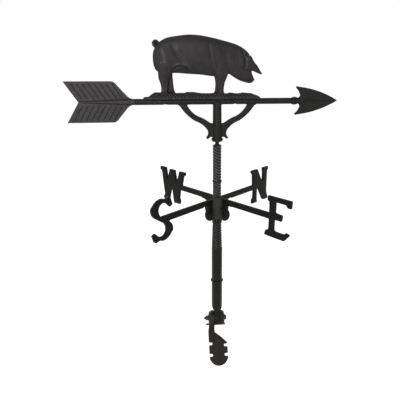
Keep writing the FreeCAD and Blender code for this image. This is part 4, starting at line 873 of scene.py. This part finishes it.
class WEATHERVANE_OT_tube(bpy.types.Operator):
    """Turns and twists the upper tube with its bead"""

    bl_idname = "weathervane.tube"
    bl_label = "Turn the Upper Tube"

    def execute(self, context):
        props = context.scene.weathervane_mast
        high = (TUBE_TOP - TUBE_FOOT) / MM
        levels = np.concatenate([
            [0, 0.3], np.arange(0.8, high - 1.4, 0.6), [high - 1.2, high - 0.5, high]])
        radius = TUBE_RADIUS + bulge(levels, TUBE_BEAD_HEIGHT, BEAD_HALF, TUBE_BEAD_OUT)
        radius -= (levels < 0.2) * 0.3 + ((levels - high + 1.4) / 1.4).clip(0, 1) * 1.2
        lift = levels * MM + TUBE_FOOT
        grid = turned_grid(lift, radius * MM, radius * MM, np.full(len(levels), 2.0))
        amount = np.maximum(
            window(levels, TUBE_PLAIN, TUBE_BEAD_HEIGHT - TUBE_PLAIN, 2.5),
            window(levels, TUBE_BEAD_HEIGHT + TUBE_PLAIN, high - 1.6, 2.5))
        grid = twisted(grid, amount, props, TUBE_FOOT)
        piece = add_piece("upper_tube_twisted", [grid])
        mark_twist(piece.data, lift, amount, props, TUBE_FOOT)
        piece.data.shade_smooth()
        piece.data.set_sharp_from_angle(angle=math.radians(50))
        hand_in(piece, "mast", "cast", coat_of("tube_coat"), "upper_tube")
        return {"FINISHED"}


class WEATHERVANE_OT_arrow(bpy.types.Operator):
    """Rounds the rail with its braces, the fletching and the head"""

    bl_idname = "weathervane.arrow"
    bl_label = "Finish the Arrow"

    def execute(self, context):
        rail = cast_copy("arrow_frame", 0.9 * MM)
        hand_in(rail, "vane", "cast", coat_of("frame_coat"), "arrow_frame")
        tail = cast_copy("tail_fletching", 0.6 * MM, passes=1, face=FLETCHING_FACE, lines=RIB_SIDES)
        hand_in(tail, "vane", "fletching", coat_of("fletching_coat"), "tail_fletching")
        head = cast_copy("arrow_head", 0.8 * MM, lines=HEAD_MIDDLE)
        hand_in(head, "vane", "cast", coat_of("frame_coat"), "arrow_head")
        return {"FINISHED"}


class WEATHERVANE_OT_compass(bpy.types.Operator):
    """Rounds the two crossed bars with their letters"""

    bl_idname = "weathervane.compass"
    bl_label = "Finish the Compass"

    def execute(self, context):
        turn = Matrix.Rotation(context.scene.weathervane_mast.north_turn, 4, "Z")
        for node in ("north_south_bar", "east_west_bar"):
            bar = cast_copy(node, 0.9 * MM, turn)
            bar.data.transform(turn)
            hand_in(bar, "compass", "letters", coat_of("letter_coat"), node)
        return {"FINISHED"}


class WEATHERVANE_OT_mount(bpy.types.Operator):
    """Rounds the two feet"""

    bl_idname = "weathervane.mount"
    bl_label = "Finish the Ridge Mount"

    def execute(self, context):
        props = context.scene.weathervane_mast
        for node, slope, ear in (("front_foot", props.front_slope, props.front_ear),
                                 ("rear_foot", -props.rear_slope, props.rear_ear)):
            level = Matrix.Translation((0, 0, BOLT_Z)) @ Matrix.Rotation(slope, 4, "X")
            piece = cast_copy(node, 0.9 * MM, level)
            roll_rim(piece, props, props.tongue / 2 + RUNNING_GAP + ear, math.copysign(1, slope))
            piece.data.transform(level)
            hand_in(piece, node, "cast", coat_of("foot_coat"), node)
        return {"FINISHED"}


class WEATHERVANE_OT_hardware(bpy.types.Operator):
    """Finishes the bolt, the rod, the screws, the ball and the bushing"""

    bl_idname = "weathervane.hardware"
    bl_label = "Finish the Hardware"

    def execute(self, context):
        for node in ("ridge_bolt", "ridge_nut", "flat_washers", "lock_washer", "upper_hub_screw",
                     "lower_hub_screw", "ornament_screws", "tail_pin", "head_set_screw"):
            finish_node(node, coat_of("fastener_coat"))
        finish_node("center_rod", coat_of("frame_coat"))
        finish_node("pivot_ball", bare_metal("bearing_steel", STEEL, 0.24, 0.6 * MM))
        finish_node("stem_bushing", bare_metal("plain_bronze", BRONZE, 0.38, 0.5 * MM))
        return {"FINISHED"}


def soft_lamp(name, place, size, power):
    """A large square lamp that faces the middle of the object."""
    data = bpy.data.lights.new(name, "AREA")
    data.shape = "SQUARE"
    data.size = size
    data.energy = power
    lamp = new_object(name, data)
    lamp.location = place
    lamp.rotation_euler = (Vector(AIM) - Vector(place)).to_track_quat("-Z", "Y").to_euler()


def seen_directly(tree):
    """One for what the camera sees, straight or in gloss or glass, else nothing."""
    path = tree.nodes.new("ShaderNodeLightPath")
    seen = path.outputs["Is Camera Ray"]
    for other in ("Is Glossy Ray", "Is Transmission Ray"):
        joined = tree.nodes.new("ShaderNodeMath")
        joined.operation = "MAXIMUM"
        tree.links.new(seen, joined.inputs[0])
        tree.links.new(path.outputs[other], joined.inputs[1])
        seen = joined.outputs["Value"]
    return seen


def place_camera(props):
    """Puts the camera where it stood for the photograph."""
    data = bpy.data.cameras.new("photo_camera")
    data.lens = props.lens
    data.sensor_width = SENSOR
    data.shift_x = CAMERA_SHIFT
    data.clip_start = 0.01
    data.clip_end = 100
    camera = new_object("photo_camera", data)
    camera.location = CAMERA_PLACE
    level_x, level_y = (part * math.cos(props.tilt) for part in CAMERA_HEADING)
    ahead = Vector((level_x, level_y, -math.sin(props.tilt)))
    camera.rotation_euler = ahead.to_track_quat("-Z", "Y").to_euler()
    bpy.context.scene.camera = camera


def light_room(props):
    """White behind the object for the camera, and a weaker even light from all round."""
    world = bpy.data.worlds.new("pale_room")
    bpy.context.scene.world = world
    world.use_nodes = True
    tree = world.node_tree
    room = tree.nodes["Background"]
    room.inputs["Color"].default_value = (1, 1, 1, 1)
    room.inputs["Strength"].default_value = props.room_level
    backdrop = tree.nodes.new("ShaderNodeBackground")
    backdrop.inputs["Color"].default_value = (1, 1, 1, 1)
    backdrop.inputs["Strength"].default_value = 1
    mix = tree.nodes.new("ShaderNodeMixShader")
    tree.links.new(seen_directly(tree), mix.inputs["Fac"])
    tree.links.new(room.outputs["Background"], mix.inputs[1])
    tree.links.new(backdrop.outputs["Background"], mix.inputs[2])
    tree.links.new(mix.outputs["Shader"], tree.nodes["World Output"].inputs["Surface"])


def lay_floor():
    """Lays a pale floor below the reach of both feet, so that no pose cuts through it."""
    reach = max(math.hypot(corner.y, corner.z - BOLT_Z) for node in ("front_foot", "rear_foot")
                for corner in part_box(node))
    level = BOLT_Z - reach - RUNNING_GAP
    data = bpy.data.meshes.new("floor")
    corners = ((-1, -1), (1, -1), (1, 1), (-1, 1))
    data.from_pydata([(x * FLOOR_HALF, y * FLOOR_HALF, level) for x, y in corners], [], [(0, 1, 2, 3)])
    floor = new_object("floor", data)
    material, tree, shader = new_material("pale_floor")
    place = tree.nodes.new("ShaderNodeTexCoord").outputs["Object"]
    tree.links.new(speckle(tree, noise(tree, place, 0.05), 0.62, 0.66), shader.inputs["Base Color"])
    shader.inputs["Roughness"].default_value = 0.9
    shader.inputs["Specular IOR Level"].default_value = 0.1
    shader.inputs["Emission Color"].default_value = (1, 1, 1, 1)
    glow = tree.nodes.new("ShaderNodeMath")
    glow.operation = "MULTIPLY"
    glow.inputs[1].default_value = FLOOR_GLOW
    tree.links.new(seen_directly(tree), glow.inputs[0])
    tree.links.new(glow.outputs["Value"], shader.inputs["Emission Strength"])
    data.materials.append(material)


class WEATHERVANE_OT_stage(bpy.types.Operator):
    """Sets out the floor, the lamps and the camera"""

    bl_idname = "weathervane.stage"
    bl_label = "Set the Stage"

    def execute(self, context):
        props = context.scene.weathervane_stage
        place_camera(props)
        light_room(props)
        lay_floor()
        for name, place, size in LAMPS:
            soft_lamp(f"{name}_lamp", place, size, getattr(props, f"{name}_power"))
        context.scene.view_settings.view_transform = "Standard"
        return {"FINISHED"}


PIECES = (
    WEATHERVANE_OT_figure, WEATHERVANE_OT_mast, WEATHERVANE_OT_tube, WEATHERVANE_OT_arrow,
    WEATHERVANE_OT_compass, WEATHERVANE_OT_mount, WEATHERVANE_OT_hardware, WEATHERVANE_OT_stage,
)


class WEATHERVANE_PT_sidebar(bpy.types.Panel):
    """Lists the steps that build the weathervane, with their sizes and colours"""

    bl_idname = "WEATHERVANE_PT_sidebar"
    bl_label = "Pig Weathervane"
    bl_space_type = "VIEW_3D"
    bl_region_type = "UI"
    bl_category = "Weathervane"

    def draw(self, context):
        column = self.layout.column()
        for group in (context.scene.weathervane_coat, context.scene.weathervane_figure,
                      context.scene.weathervane_mast, context.scene.weathervane_stage):
            for name in group.bl_rna.properties.keys():
                if name not in ("rna_type", "name"):
                    column.prop(group, name)
        for step in PIECES:
            column.operator(step.bl_idname)


PROPS = {
    "weathervane_coat": CoatProps, "weathervane_figure": FigureProps,
    "weathervane_mast": MastProps, "weathervane_stage": StageProps,
}
CLASSES = (*PROPS.values(), *PIECES, WEATHERVANE_PT_sidebar)


def register():
    for cls in CLASSES:
        bpy.utils.register_class(cls)
    for name, group in PROPS.items():
        setattr(bpy.types.Scene, name, bpy.props.PointerProperty(type=group))


def unregister():
    for name in PROPS:
        delattr(bpy.types.Scene, name)
    for cls in reversed(CLASSES):
        bpy.utils.unregister_class(cls)


def main():
    register()
    bpy.ops.weathervane.figure()
    bpy.ops.weathervane.mast()
    bpy.ops.weathervane.tube()
    bpy.ops.weathervane.arrow()
    bpy.ops.weathervane.compass()
    bpy.ops.weathervane.mount()
    bpy.ops.weathervane.hardware()
    bpy.ops.weathervane.stage()


if __name__ == "__main__":
    main()
